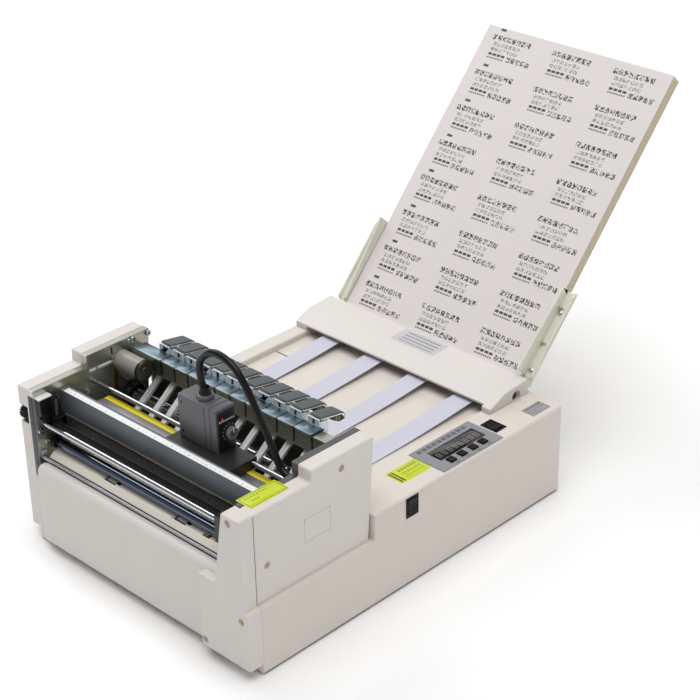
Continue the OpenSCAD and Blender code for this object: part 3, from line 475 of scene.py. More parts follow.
bright_screw = plated("bright screw steel", paint(205, 206, 208), 0.22)
plate_face = -121
plate_screws = [
    (-67.9, 149.2), (-63.6, 149.6), (-138, 118), (-138, 128), (-114.5, 120.5), (-160.4, 93.2), (-166.3, 105),
    (-165.6, 85), (-47.3, 149.4), (-81, 142), (-86.2, 142),
]
first_y, first_z = plate_screws[0]
screw = lathe("plate_screw_1", (plate_face + 0.1, first_y, first_z), [
    (0, 0), (0, 2.6), (1.5, 2.6), (1.9, 2.1), (1.9, 1.2), (0.9, 1.2), (0.9, 0),
], "x", 24)
for number, (y, z) in enumerate(plate_screws[1:], 2):
    twin = copy_of(screw, "plate_screw_%d" % number, (0, y - first_y, z - first_z))
    give(twin, "machine", "chrome", bright_screw)
give(screw, "machine", "chrome", bright_screw)

white_strip = moulded("white guide strip", paint(224, 225, 220), 0.4)
dark_hole = moulded("dark opening", paint(14, 14, 15), 0.5)
yellow_zinc = plated("yellow passivated zinc", paint(150, 140, 66), 0.3)


def slab(name, low, high, edge=0.2, steps=2):
    """A block between two corners, given in the drawing's millimetres, with its edges rounded."""
    bpy.ops.object.select_all(action="DESELECT")
    bpy.ops.mesh.primitive_cube_add(size=1)
    piece = bpy.context.object
    piece.name = name
    small, large = at(*low), at(*high)
    bpy.ops.object.mode_set(mode="EDIT")
    bpy.ops.mesh.select_all(action="SELECT")
    bpy.ops.transform.resize(value=large - small, center_override=(0, 0, 0))
    bpy.ops.transform.translate(value=(small + large) / 2)
    if edge:
        bpy.ops.mesh.bevel(offset=edge / 1000, segments=steps, affect="EDGES")
    bpy.ops.mesh.normals_make_consistent(inside=False)
    bpy.ops.object.mode_set(mode="OBJECT")
    smooth(piece, 40)
    return piece


edge_steel = plated("dark edge steel", paint(76, 82, 90), 0.42)
edge_strip = slab("plate_front_edge", (-128, -170.12, 62.6), (-121.2, -169.9, 137), 0.05)
give(edge_strip, "machine", "frame_steel", edge_steel)
for name, y0, y1, z0, z1, rise, slot_name, material in (
    ("plate_strip_1", -111.5, -104.6, 136.8, 139.2, 0.8, "paper", white_strip),
    ("plate_strip_2", -102.8, -71.2, 136.8, 139.2, 0.8, "paper", white_strip),
    ("plate_slot", -87.4, -85.8, 144.8, 151, 0.12, "black_plastic", dark_hole),
    ("plate_strap", -87.2, -82.8, 110.5, 134.2, 0.6, "zinc_sheet", yellow_zinc),
):
    strip = slab(name, (plate_face - 0.05, y0, z0), (plate_face + rise, y1, z1), min(rise * 0.3, 0.2))
    give(strip, "machine", slot_name, material)
for number, z in enumerate((111.7, 74.2), 1):
    hole = lathe("edge_hole_%d" % number, (-124.5, -170.2, z), [
        (0, 0), (0, 1.3), (0.2, 1.3), (0.2, 0),
    ], "y", 20)
    give(hole, "machine", "black_plastic", dark_hole)

# Rollers and motors: the chrome pressure roller over the rubber feed roller, the anvil roller under the
# blades and the thin exit roller. Gears and a belt inside the left cover join them, and the feed motor's drum
# on the left plate drives them. Black bushes take the rollers' ends.


def polished(name, colour, roughness):
    """Hard bright plating, ground and polished, with faint lines along the piece."""
    material, shader, where = new_finish(name, roughness, 1.0)
    drawn = where.node("VectorMath", {"operation": "MULTIPLY"}, {0: where, 1: (0.02, 1, 1)})
    feed(shader, "Base Color", noise(where, 14.0, 3.0).mix(shade(colour, 0.88), colour))
    feed(shader, "Roughness", noise(drawn, 1200.0) * 0.04 + (roughness - 0.02))
    return material


chrome = polished("chrome", paint(172, 174, 178), 0.045)
blue_steel = polished("blue-grey roller steel", paint(104, 114, 130), 0.12)
roller_rubber = rubber("roller rubber", paint(40, 40, 42), 0.6)
wheel_white = moulded("wheel plastic", paint(216, 216, 214), 0.4)
brass = plated("machined brass", paint(196, 168, 104), 0.3)
ground_steel = plated("ground blade steel", paint(205, 206, 206), 0.22)
motor_can = moulded("motor can", paint(150, 148, 136), 0.3)
for node, name, slot, material, edge in (
    ("pressure_roller", "chrome_roller", "chrome", chrome, 0.25),
    ("feed_roller", "rubber_roller", "black_rubber", roller_rubber, 0.25),
    ("anvil_roller", "anvil", "chrome", chrome, 0.25),
    ("exit_roller", "thin_roller", "blue_steel", blue_steel, 0.2),
    ("idler_wheels", "tray_wheels", "black_rubber", wheel_white, 0.3),
    ("pickup_roller", "pickup", "black_rubber", roller_rubber, 0.3),
    ("motor_pinion", "pinion", "brass", brass, 0.1),
):
    dress(node, name, node, slot, material, edge)
dress("feed_motor", "feed_motor_can", "machine", "motor_can", motor_can, 0.8, 3)
dress("cutter_motor", "cutter_motor_can", "machine", "motor_can", motor_can, 0.8)
black = moulded("black plastic", paint(9, 9, 10), 0.36, 0.05)
motor_band = lathe("motor_band", (-92.6, -77.7, 136), [(0, 8.9), (0, 9.5), (2.4, 9.5), (2.4, 8.9)])
give(motor_band, "machine", "black_plastic", black)
motor_end = plated("motor end plate", paint(112, 110, 98), 0.44)
give(lathe("motor_boss", (-90.1, -77.7, 136), [
    (0, 0), (0, 8.9), (0.3, 8.7), (0.3, 3.6), (0.9, 3.4), (0.9, 1.4), (0.3, 1.3), (0.3, 0),
]), "machine", "motor_can", motor_end)
give(lathe("roller_cup", (-120.9, -69, 100), [
    (0, 5), (0, 11.4), (5.2, 11.4), (6.4, 10.6), (7.2, 9.2), (7.2, 7.9), (6, 7.6), (6, 5),
]), "machine", "black_plastic", black)
give(lathe("exit_bush", (-120.9, -152, 89.5), [
    (0, 2.4), (0, 5.6), (2.4, 5.6), (3.2, 5), (3.2, 3.6), (5, 3.4), (5, 2.4),
]), "machine", "black_plastic", black)

# Knife bar and its brackets: a folded zinc bar with a skirt runs across the frame, with a thin guard plate
# below it. Each knife place has a bracket with a foot, an upright slotted tab and two ears, pressed from
# bluish zinc sheet.
bar_zinc = plated("folded bar zinc", paint(190, 194, 182), 0.3, (0.05, 1, 1))
bracket_zinc = plated("bluish bracket zinc", paint(226, 236, 240), 0.4, (1, 0.05, 1), 0.01, 0.6)
foot_zinc = plated("bluish foot zinc", paint(158, 178, 188), 0.28, (1, 0.05, 1), 0.01)
dress("knife_bar", "folded_bar", "machine", "zinc_sheet", bar_zinc, 0.4)
dress("knife_brackets", "brackets", "machine", "zinc_sheet", bracket_zinc, 0.2)
knife_places = [-89, -71, -55.5, -38.5, -23, -5.5, 13, 31, 49, 67, 87]


def prism(name, outline, x0, x1, edge=0.0, steps=2):
    """An outline drawn in the side view, as (y, z) points, pulled out along x, its edges rounded."""
    bpy.ops.object.select_all(action="DESELECT")
    bpy.ops.mesh.primitive_circle_add(vertices=len(outline), fill_type="NGON")
    piece = bpy.context.object
    piece.name = name
    for vertex, (y, z) in zip(piece.data.vertices, outline):
        vertex.co = at(x0, y, z)
    bpy.ops.object.mode_set(mode="EDIT")
    bpy.ops.mesh.select_all(action="SELECT")
    bpy.ops.mesh.extrude_region_move(TRANSFORM_OT_translate={"value": ((x1 - x0) / 1000, 0, 0)})
    bpy.ops.mesh.select_all(action="SELECT")
    bpy.ops.mesh.normals_make_consistent(inside=False)
    if edge:
        bpy.ops.mesh.bevel(offset=edge / 1000, segments=steps, affect="EDGES")
    bpy.ops.object.mode_set(mode="OBJECT")
    smooth(piece, 40)
    return piece


def joined(name, pieces):
    """Several pieces made into one."""
    alone(pieces[0])
    for piece in pieces[1:]:
        piece.select_set(True)
    bpy.ops.object.join()
    pieces[0].name = name
    return pieces[0]


guard_zinc = plated("dull guard zinc", paint(118, 118, 104), 0.4, (0.05, 1, 1))
give(prism("arm_guard", [
    (-46.9, 127.5), (-46.1, 127.5), (-46.1, 100), (-50.8, 93.2), (-51.4, 93.7), (-46.9, 100.3),
], -121, 121), "machine", "zinc_sheet", guard_zinc)
x = knife_places[0]
ear = [(-55.4, 139.2), (-55.4, 149.6), (-50.5, 149.5), (-46.4, 147.2), (-46.2, 139.6)]
ears = joined("bracket_cheeks_01", [
    prism("cheek", ear, x - 6.15, x - 5.35, 0.12), prism("cheek", ear, x + 5.35, x + 6.15, 0.12),
])
tab_slot = slab("tab_slot_01", (x - 1.9, -55.15, 145.9), (x + 1.9, -54.85, 151.7), 0.03)
between = [(a + b) / 2 for a, b in zip([-141] + knife_places, knife_places + [107])]
for number, place in enumerate(knife_places, 1):
    if number > 1:
        shift = (place - x, 0, 0)
        give(copy_of(ears, "bracket_cheeks_%02d" % number, shift), "machine", "zinc_sheet", bracket_zinc)
        give(copy_of(tab_slot, "tab_slot_%02d" % number, shift), "machine", "black_plastic", black)
    left, right = between[number - 1], between[number]
    foot = slab("bracket_foot_%02d" % number, (left + 0.6, -68.6, 144.72), (right - 0.6, -55.3, 145.98), 0.2)
    give(foot, "machine", "zinc_sheet", foot_zinc)
    # Painted shade: the foot gap strips are black strips filling the gaps between neighbouring feet. The
    # skirt slots are thin black strips on the skirt below each gap.
    for name, half, y0, y1, z0, z1 in (
        ("foot_gap_%02d", 0.62, -68.3, -55.4, 144.6, 145.7),
        ("skirt_slot_%02d", 0.9, -68.14, -67.9, 132.4, 144),
    ):
        dark_line = slab(name % number, (right - half, y0, z0), (right + half, y1, z1), 0.03)
        give(dark_line, "machine", "black_plastic", black)
give(ears, "machine", "zinc_sheet", bracket_zinc)
give(tab_slot, "machine", "black_plastic", black)

# Knife levers: eleven alike. A dark grey moulded cap with a rounded tail is the handle, a bright folded
# channel is the arm, and a thin drag blade is set in its end. Each swings on a pin in the bracket's ears.
cap_grey = moulded("lever cap grey", paint(86, 92, 94), 0.46)
tail_grey = moulded("lever tail grey", paint(48, 50, 51), 0.36)
spring_tan = moulded("spring and pad", paint(176, 158, 128), 0.4)
arm_metal = plated("arm aluminium", paint(240, 241, 240), 0.36, (1, 0.1, 0.1), 0.06, 0.55)
cap = prism("lever_cap_01", [
    (-53.9, 151.0), (-53.9, 153.0), (-53.2, 153.6), (-31.6, 149.7), (-29.2, 148.5), (-27.6, 146.4),
    (-27.0, 144.0), (-27.3, 142.0), (-29.2, 141.3), (-29.7, 143.6), (-31.6, 146.6), (-52.6, 150.7),
], x - 6.25, x + 6.25, 0.5, 3)
# Painted highlight: a light sheet under each cap, a little wider than it, shows as a light line along the
# cap's front and sides where its edges catch the light.
cap_highlight = prism("lever_trim_01", [
    (-53.95, 151.3), (-53.95, 152.2), (-31.7, 148.3), (-29.5, 147.2), (-28.2, 145.4), (-27.7, 143.2),
    (-28.6, 143.0), (-29.4, 144.8), (-31.7, 147.4), (-52.6, 151.0),
], x - 6.5, x + 6.5, 0.1, 1)
tail = prism("lever_tail_01", [
    (-42.5, 146.6), (-42.5, 148.6), (-31.8, 146.8), (-29.4, 143.4), (-29.6, 141.2), (-33, 140.9),
    (-38, 143.6),
], x - 5.7, x + 5.7, 0.3)
bits = joined("lever_bits_01", [
    slab("pad", (x - 6.0, -37.4, 143.9), (x + 6.0, -36.2, 147.4), 0.15),
    slab("pad", (x - 6.1, -34.4, 142.4), (x + 6.1, -33.4, 146.6), 0.15),
])
arm_side = [
    (-46, 137), (-50, 138.2), (-55, 133), (-68, 123.2), (-106, 94), (-104.1, 91.5), (-66.1, 120.7),
    (-51.5, 131.6),
]
arm = joined("lever_arm_01", [
    prism("wall", arm_side, x - 2.8, x - 1.7, 0.2), prism("wall", arm_side, x + 1.7, x + 2.8, 0.2),
    prism("web", [
        (-46, 137), (-50, 138.2), (-55, 133), (-67.6, 122.7), (-105.6, 93.5), (-104.5, 92), (-66.5, 121.2),
        (-51.5, 131.6),
    ], x - 1.75, x + 1.75),
    prism("neck", [
        (-53, 149.5), (-45, 147.9), (-44.5, 139), (-45.5, 134), (-50, 134), (-53.6, 139),
    ], x - 4.7, x + 4.7, 0.3),
    lathe("pin", (x, -49.5, 142.5), [
        (-6.8, 0), (-6.8, 1.3), (-6.5, 1.5), (6.5, 1.5), (6.8, 1.3), (6.8, 0),
    ], "x", 20),
])
blade = prism("lever_blade_01", [
    (-95, 103), (-105.5, 95), (-111.5, 90.5), (-110, 88.4), (-106.5, 88.9), (-95, 96),
], x - 0.5, x + 0.5, 0.1, 1)
for part, slot_name, material in (
    (cap, "lever_grey", cap_grey), (cap_highlight, "zinc_sheet", arm_metal), (tail, "lever_grey", tail_grey),
    (bits, "brass", spring_tan), (arm, "zinc_sheet", arm_metal), (blade, "blade_steel", ground_steel),
):
    for number, place in enumerate(knife_places, 1):
        node = "knife_lever_%02d" % number
        piece = copy_of(part, part.name[:-2] + "%02d" % number, (place - x, 0, 0)) if number > 1 else part
        give(piece, node, slot_name, material, *((node,) if part == cap else ()))

# Ruler beam and sensor rail: two folded steel sections screwed between the side plates. The beam has a white
# scale strip in a seat along its top, and the grey rail behind it, with a yellow strip, carries the sensor.
beam_steel = plated("blue-grey beam steel", paint(116, 123, 128), 0.5, (0.03, 1, 1), 0.02, 0.25)
rail_grey = plated("rail steel", paint(176, 175, 174), 0.4, (0.03, 1, 1))
dress("ruler_beam", "beam", "machine", "zinc_sheet", beam_steel, 0.4)
dress("sensor_rail", "rail", "machine", "zinc_sheet", rail_grey, 0.3)


def along(where, axis):
    """The object coordinate along one axis, in millimetres of the drawing."""
    part = where.node("SeparateXYZ", None, {0: where}, "XYZ".index(axis))
    return part * 1000 + {"X": middle_x, "Y": middle_y, "Z": 0}[axis]


def comb(wire, pitch, width):
    """1 in a narrow line at every pitch, 0 between."""
    return wire.math("PINGPONG", wire, pitch / 2) < width / 2


strip_white, shader, where = new_finish("scale strip", 0.45)
x, y = along(where, "X"), along(where, "Y")
tick = comb(x, 5.0, 0.7) * (y < -139.5) * (y > -140.4) * 0.7
tall = comb(x + 5, 20.0, 0.7) * (y < -139.0) * (y > -140.8) * 0.9
feed(shader, "Base Color", tick.most(tall).mix(paint(240, 240, 240), paint(70, 74, 84)))
feed(shader, "Roughness", noise(where, 200.0) * 0.2 + 0.35)
strip_yellow, shader, where = new_finish("yellow strip", 0.45)
feed(shader, "Base Color", noise(where, 40.0, 4.0).mix(paint(226, 204, 14), paint(236, 216, 34)))
feed(shader, "Roughness", noise(where, 300.0) * 0.2 + 0.35)
beam_low, beam_high = (v * 1000 for v in map(Vector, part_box("ruler_beam")))
give(
    slab("scale_strip", (beam_low.x + 3.25, -141.9, 133.62), (beam_high.x + 1.25, -136.1, 133.98), 0.08),
    "machine", "paper", strip_white
)
# This tan also paints the rib shadows on the tray.
tan = moulded("tan edging", paint(176, 156, 122), 0.5)
give(slab("beam_edging", (-117, -142.3, 112.0), (110, -141.9, 113.1), 0.1), "machine", "brass", tan)
rail_low, rail_high = (v * 1000 for v in map(Vector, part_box("sensor_rail")))
give(
    slab("rail_strip", (rail_low.x + 3.25, -114.2, 122.0), (rail_high.x + 1.25, -108.4, 122.2), 0.05),
    "machine", "paper", strip_yellow
)

# Mark sensor: a grey moulded head on a black sliding block. Its right face is a black dial plate with a lamp
# and a ridged knob, and a hexagon gland on top takes the lead.
sensor_grey = moulded("sensor grey", paint(97, 97, 101), 0.36)
dark = moulded("dark plastic", paint(38, 38, 40), 0.4)
dress("sensor_carriage", "sensor_block", "sensor", "dark_plastic", dark, 0.6)
for name, x0, x1, edge, *stands_for in (
    ("sensor_body", 4, 34.6, 0.9, "sensor_head"), ("sensor_band", 34.9, 40.6, 0.7),
    ("sensor_end", 40.9, 48, 0.7),
):
    case = slab(name, (x0, -122, 132), (x1, -102, 170), edge, 3)
    give(case, "sensor", "dark_plastic", sensor_grey, *stands_for)
dial, shader, where = new_finish("dial print", 0.35)
x, y, z = along(where, "X"), along(where, "Y") + 109.5, along(where, "Z") - 148
reach = (y * y + z * z).math("SQRT", y * y + z * z)
swing = y.math("ARCTAN2", y, z)
tick = comb(swing, 0.4363, 0.07) * (reach > 6.2) * (reach < 7.6)
blocks = comb(y + 1.3, 2.1, 1.3) * (z > 10.8) * (z < 12.4)
dial_ink = tick.most(blocks) * (x > 49)
feed(shader, "Base Color", dial_ink.mix(paint(20, 20, 21), paint(205, 205, 205)))
feed(shader, "Roughness", noise(where, 900.0) * 0.2 + 0.25)
give(slab("dial_plate", (48, -120.5, 133.5), (49.2, -103.5, 167.5), 0.35), "sensor", "black_plastic", dial)
lamp_red, shader, where = new_finish("red lamp lens", 0.15)
feed(shader, "Base Color", noise(where, 900.0).mix(paint(196, 26, 20), paint(226, 50, 34)))
shader.inputs["Emission Color"].default_value = paint(230, 40, 26)
shader.inputs["Emission Strength"].default_value = 0.15
give(lathe("sensor_lamp", (49.1, -116.4, 161.5), [
    (0, 0), (0, 1.1), (0.3, 1.05), (0.6, 0.75), (0.7, 0.4), (0.75, 0),
], "x", 24), "sensor", "black_plastic", lamp_red)


def ridged(name, centre, radius, length, count, depth):
    """A knurled wheel on the x axis: every other pair of rim points is drawn in, and the rims are rounded."""
    bpy.ops.object.select_all(action="DESELECT")
    bpy.ops.mesh.primitive_cylinder_add(vertices=count * 4, radius=radius / 1000, depth=length / 1000)
    piece = bpy.context.object
    piece.name = name
    piece.data.transform(Matrix.Rotation(radians(90), 4, "Y"))
    for vertex in piece.data.vertices:
        around = Vector((0, vertex.co.y, vertex.co.z))
        step = round(around.yz.angle_signed(Vector((1, 0))) / (2 * pi) * count * 4) % 4
        if step in (0, 1):
            vertex.co -= around.normalized() * depth / 1000
    bpy.ops.object.mode_set(mode="EDIT")
    bpy.ops.mesh.select_all(action="SELECT")
    bpy.ops.transform.translate(value=at(*centre))
    bpy.ops.mesh.select_all(action="DESELECT")
    bpy.ops.mesh.select_face_by_sides(number=count * 4)
    bpy.ops.mesh.bevel(offset=0.0003, segments=2, affect="EDGES")
    bpy.ops.mesh.select_all(action="DESELECT")
    bpy.ops.mesh.select_face_by_sides(number=count * 4)
    bpy.ops.mesh.inset(thickness=0.0009)
    bpy.ops.transform.resize(value=(0.93, 1, 1), center_override=at(*centre))
    bpy.ops.object.mode_set(mode="OBJECT")
    smooth(piece, 30)
    return piece


knob_grey = moulded("knob grey", paint(120, 121, 124), 0.4)
knob = ridged("ridged_knob", (51.75, -109.5, 148), 5, 4.4, 18, 0.45)
give(knob, "sensor_knob", "dark_plastic", knob_grey, "sensor_knob")
give(slab("knob_pointer", (53.6, -110, 149), (54.1, -109, 152.4), 0.1), "sensor_knob", "paper", strip_white)
bpy.ops.object.select_all(action="DESELECT")
bpy.ops.mesh.primitive_cylinder_add(vertices=6, radius=0.0075, depth=0.004, location=at(26, -112, 172))
gland = bpy.context.object
gland.name = "gland_nut"
bpy.ops.object.transform_apply(location=True)
bpy.ops.object.mode_set(mode="EDIT")
bpy.ops.mesh.select_all(action="SELECT")
bpy.ops.mesh.bevel(offset=0.0005, segments=2, affect="EDGES")
bpy.ops.object.mode_set(mode="OBJECT")
smooth(gland, 30)
give(gland, "sensor", "dark_plastic", sensor_grey)
hole = lathe("sensor_hole_1", (8.5, -122.05, 138), [(0, 0), (0, 1.3), (0.4, 1.5), (0.4, 0)], "y", 20)
give(copy_of(hole, "sensor_hole_2", (0, 0, 26)), "sensor", "black_plastic", black)
give(hole, "sensor", "black_plastic", black)

# Cross cutter: four chrome rods between the plates, two for the blade's carriage, one for the sensor's and
# a thin one at the tray's lip. A black toothed belt draws the carriage between two pulleys. The idler sits on
# a dull steel bracket with a white lid, and a thumb wheel in the left cover tightens the belt.
# Painted reflection and shade: each rod's colour is dark on its lower half and light on its upper half, in
# place of the dark surroundings and the bright light it mirrors.
for name, y, z, radius, metal, *stands_for in (
    ("front_rod", -163, 112, 2.5, 1.0, "guide_rods"), ("back_rod", -147, 101, 2.5, 1.0),
    ("sensor_rod", -108.4, 128.5, 2.0, 1.0), ("lip_rod", -165.6, 79.2, 1.5, 0.5),
):
    material, shader, where = new_finish(name + " chrome", 0.05, metal)
    painted_lit_half = (along(where, "Z") - (z - 0.45 * radius)) / (0.5 * radius)
    painted_lit_half = painted_lit_half.node("Clamp", None, {0: painted_lit_half})
    feed(shader, "Base Color", painted_lit_half.mix(paint(44, 45, 48), paint(206, 208, 212)))
    feed(shader, "Roughness", noise(where, 60.0, 3.0) * 0.03 + 0.03)
    rod = lathe(name, (0, y, z), [(-121, 0), (-121, radius), (121, radius), (121, 0)])
    give(rod, "machine", "chrome", material, *stands_for)
belt_rubber = rubber("belt rubber", paint(5, 5, 6), 0.5, 0.15)
tooth_highlight_rubber = rubber("belt tooth rubber", paint(46, 46, 48), 0.42, 0.3)
dress("drive_belts", "belts", "machine", "black_rubber", belt_rubber, 0)
# Painted highlight: the teeth are a lighter grey than the black belt, in place of the light on their edges.
for name, y in (("rear_belt_teeth", -148.6), ("front_belt_teeth", -157.0)):
    teeth = slab(name, (-108, y, 107.9), (-107, y + 0.6, 115.6), 0)
    alone(teeth)
    tooth_row = teeth.modifiers.new("row", "ARRAY")
    tooth_row.count = 108
    tooth_row.use_relative_offset = False
    tooth_row.use_constant_offset = True
    tooth_row.constant_offset_displace = (0.002, 0, 0)
    bpy.ops.object.modifier_apply(modifier="row")
    give(teeth, "machine", "black_rubber", tooth_highlight_rubber)
bracket = joined("idler_bracket", [
    slab("back", (-121, -168.5, 104.5), (-119.7, -146.5, 136), 0.15),
    slab("shelf", (-121, -158.5, 104.5), (-107, -146.5, 105.8), 0.15),
])
give(lathe("idler_axle", (-113, -152.5, 105), [
    (0, 0), (0, 1.45), (20, 1.45), (20.6, 1.0), (20.6, 0),
], "z", 24), "machine", "black_plastic", black)
lid_white = moulded("white lid", paint(232, 234, 230), 0.3)
lid = slab("bracket_lid", (-121, -169, 135.9), (-114.4, -155.8, 137.2), 0.2)
give(lid, "machine", "zinc_sheet", lid_white)
give(bracket, "machine", "zinc_sheet", dull_steel, "pulley_bracket")
block = slab("bracket_block", (-119.9, -168.2, 120.6), (-114.8, -156.4, 135.8), 0.5)
give(block, "machine", "black_plastic", black)
pulley_dark = plated("dark pulley steel", paint(70, 71, 74), 0.3)
for node, name, material in (
    ("drive_pulley", "drive_wheel", pulley_dark), ("idler_pulley", "idler_wheel", black),
):
    dress(node, name, node, "chrome", material, 0.15)
dress("cutter_carriage", "blade_carriage", "cutter_carriage", "black_plastic", black, 0.4)
dress("cutter_blade", "round_blade", "cutter_blade", "blade_steel", ground_steel, 0)
dress("tension_knob", "thumb_wheel", "tension_knob", "black_plastic", black, 0.3)

# Exit tray: an ivory moulding laid between the plates that the cut labels slide over, its front sloped down
# to a black strip under the lip rod, which is painted shade in place of the dark gap there. It has two
# openings for the wheels, each with a black frame, and a tan pocket.
# Painted light: the tray's ivory is lighter than the other mouldings, against the shade that the rods and
# roller above cast on it.
tray_ivory_lightened = moulded("tray ivory", paint(248, 242, 230), 0.4)


def bite(piece, tool):
    """Takes the shape of a tool out of a piece, and puts the tool away."""
    alone(piece)
    notch = piece.modifiers.new("notch", "BOOLEAN")
    notch.operation = "DIFFERENCE"
    notch.solver = "EXACT"
    notch.object = tool
    bpy.ops.object.modifier_apply(modifier="notch")
    bpy.data.objects.remove(tool)


def cut(piece, low, high):
    """Cuts a block between two corners out of a piece."""
    bite(piece, slab("tool", low, high, 0))


def round_edges(piece, test, edge, steps=4):
    """Rounds the edges whose two ends both pass a test on their place in the drawing."""
    shift = at(0, 0, 0)
    alone(piece)
    bpy.ops.object.mode_set(mode="EDIT")
    bpy.ops.mesh.select_mode(type="EDGE")
    bpy.ops.mesh.select_all(action="DESELECT")
    bpy.ops.object.mode_set(mode="OBJECT")
    for line in piece.data.edges:
        line.select = all(test(*((piece.data.vertices[v].co - shift) * 1000)) for v in line.vertices)
    bpy.ops.object.mode_set(mode="EDIT")
    bpy.ops.mesh.bevel(offset=edge / 1000, segments=steps, affect="EDGES", clamp_overlap=False)
    bpy.ops.mesh.select_mode(type="VERT")
    bpy.ops.object.mode_set(mode="OBJECT")


tray = prism("tray", [
    (-141, 85.8), (-147, 84.2), (-158.4, 84.2), (-159.6, 83.7), (-163, 81.0), (-163.4, 80.4), (-163, 79.8),
    (-158, 81.7), (-147, 81.7), (-141, 83.3),
], -116.5, 120.5)
round_edges(tray, lambda x, y, z: x < -116, 0.8)
wheel_places = (-44.5, 40)
for x in wheel_places:
    cut(tray, (x - 5.4, -157.6, 70), (x + 5.4, -146.4, 95))
cut(tray, (66, -158.4, 70), (74, -150, 95))
give(even(tray), "machine", "ivory_plastic", tray_ivory_lightened, "exit_tray")
give(slab("tray_pocket", (65, -159, 78.6), (75, -149, 79.6), 0.2), "machine", "brass", tan)
for number, x in enumerate(wheel_places, 1):
    surround = joined("wheel_frame_%d" % number, [
        slab("bar", (x - 6.6, -157.8, 84.1), (x - 5.5, -147, 84.7), 0.1),
        slab("bar", (x + 5.5, -156, 84.1), (x + 10, -147, 84.7), 0.1),
        slab("bar", (x - 6.6, -158.4, 84.1), (x + 6.6, -157.4, 84.7), 0.1),
    ])
    give(surround, "machine", "black_plastic", black)
    # Painted shadow: a thin tan line beside each opening in place of the shadow of a rib.
    rib_shadow = slab("tray_rib_%d" % number, (x - 9.2, -159, 84.12), (x - 8.6, -150, 84.36), 0.08)
    give(rib_shadow, "machine", "brass", tan)
# Painted shade: a black strip under the lip rod in place of the shaded gap.
give(slab("lip_trough", (-116, -167, 75.2), (112, -159, 76), 0.2), "machine", "black_plastic", black)
bearing = lathe("tray_bearing", (106, -152, 89.5), [(0, 2.3), (0, 4.2), (4, 4.2), (4, 2.3)])
give(bearing, "machine", "ivory_plastic", tray_ivory_lightened)

# Covers: the front cover with its column and the two side covers are thin ivory mouldings with soft edges,
# held by beige countersunk screws. A black strip in the joint where the column meets the right cover is
# painted shade there, and the right cover has a blank raised frame.


def cover(name, outline, axis, outer, inner, edge, holes):
    """A thin moulded cover: the outline drawn on its outer face is pulled back, the back is left open, the
    edges are rounded, the wall is given its thickness, and the screw seats are cut."""
    if axis == "x":
        points = [at(outer, a, b) for a, b in outline]
        pull = Vector(((inner - outer) / 1000, 0, 0))
    else:
        points = [at(a, outer, b) for a, b in outline]
        pull = Vector((0, (inner - outer) / 1000, 0))
    bpy.ops.object.select_all(action="DESELECT")
    bpy.ops.mesh.primitive_circle_add(vertices=len(points), fill_type="NGON")
    piece = bpy.context.object
    piece.name = name
    for vertex, point in zip(piece.data.vertices, points):
        vertex.co = point
    bpy.ops.object.mode_set(mode="EDIT")
    bpy.ops.mesh.select_all(action="SELECT")
    bpy.ops.mesh.extrude_region_move(TRANSFORM_OT_translate={"value": pull})
    bpy.ops.mesh.delete(type="ONLY_FACE")
    bpy.ops.mesh.select_mode(type="EDGE")
    bpy.ops.mesh.select_all(action="SELECT")
    bpy.ops.mesh.normals_make_consistent(inside=False)
    bpy.ops.object.mode_set(mode="OBJECT")
    inside_out = max(piece.data.polygons, key=lambda face: face.area).normal.dot(pull) > 0
    bpy.ops.object.mode_set(mode="EDIT")
    if inside_out:
        bpy.ops.mesh.flip_normals()
    bpy.ops.mesh.select_all(action="DESELECT")
    bpy.ops.mesh.edges_select_sharp(sharpness=radians(2))
    bpy.ops.mesh.bevel(offset=edge / 1000, segments=4, affect="EDGES", clamp_overlap=False)
    bpy.ops.mesh.select_mode(type="VERT")
    bpy.ops.object.mode_set(mode="OBJECT")
    wall = piece.modifiers.new("wall", "SOLIDIFY")
    wall.thickness = 0.0016
    wall.offset = -1
    bpy.ops.object.modifier_apply(modifier="wall")
    inward = 2 if inner > outer else -2
    for a, b in holes:
        seat = (outer, a, b) if axis == "x" else (a, outer, b)
        bite(piece, lathe("tool", seat, [(-inward, 0), (-inward, 3), (inward, 3), (inward, 0)], axis, 32))
    return piece


side_seats = [(-81.5, 141), (-161, 93.4)]
right_shell = cover("right_shell", [
    (-173, 60.6), (-53, 60.6), (-45.5, 153), (-113, 153), (-113, 142.5), (-173, 142.5),
], "x", 142, 128, 1.8, side_seats)
left_shell = cover("left_shell", [
    (-170, 8), (-53, 8), (-53, 62), (-45.5, 153), (-113, 153), (-113, 142.5), (-170, 142.5),
], "x", -142, -128, 1.8, side_seats)
cut(left_shell, (-143, -171, 109), (-130, -156.5, 125))
front_column = cover("front_column", [
    (92, 10), (146.5, 10), (146.5, 61.7), (142, 61.7), (142, 143), (122, 143), (111, 77), (92, 77),
], "y", -187, -173, 2.0, [(130, 137), (139.5, 54), (97, 17)])
rolled_top = [(-173.5 - 6.5 * cos(pi * k / 12), 75 + 6.5 * sin(pi * k / 12)) for k in range(13)]
panel_side = [(-173, 62), (-173, 10), (-180, 10)] + rolled_top + [(-167, 62)]
front_panel = prism("front_panel", panel_side, -113, 112.5)
round_edges(front_panel, lambda x, y, z: x < -112.9, 3.0)
cover_white = moulded("greyish white moulding", paint(223, 217, 211), 0.36)
for piece, *stands_for in (
    (right_shell, "right_side_cover"), (left_shell, "left_side_cover"), (front_column, "front_cover"),
    (front_panel,),
):
    give(even(piece), "machine", "ivory_plastic", cover_white, *stands_for)


def rim(name, low, high, width, edge, thin):
    """A flat frame of four bars between two corners, thin along the named axis."""
    bars = []
    for axis in {"x": (1, 2), "z": (0, 1)}[thin]:
        near_end, far_start = list(high), list(low)
        near_end[axis] = low[axis] + width
        far_start[axis] = high[axis] - width
        bars += [slab("bar", low, near_end, edge), slab("bar", far_start, high, edge)]
    return joined(name, bars)


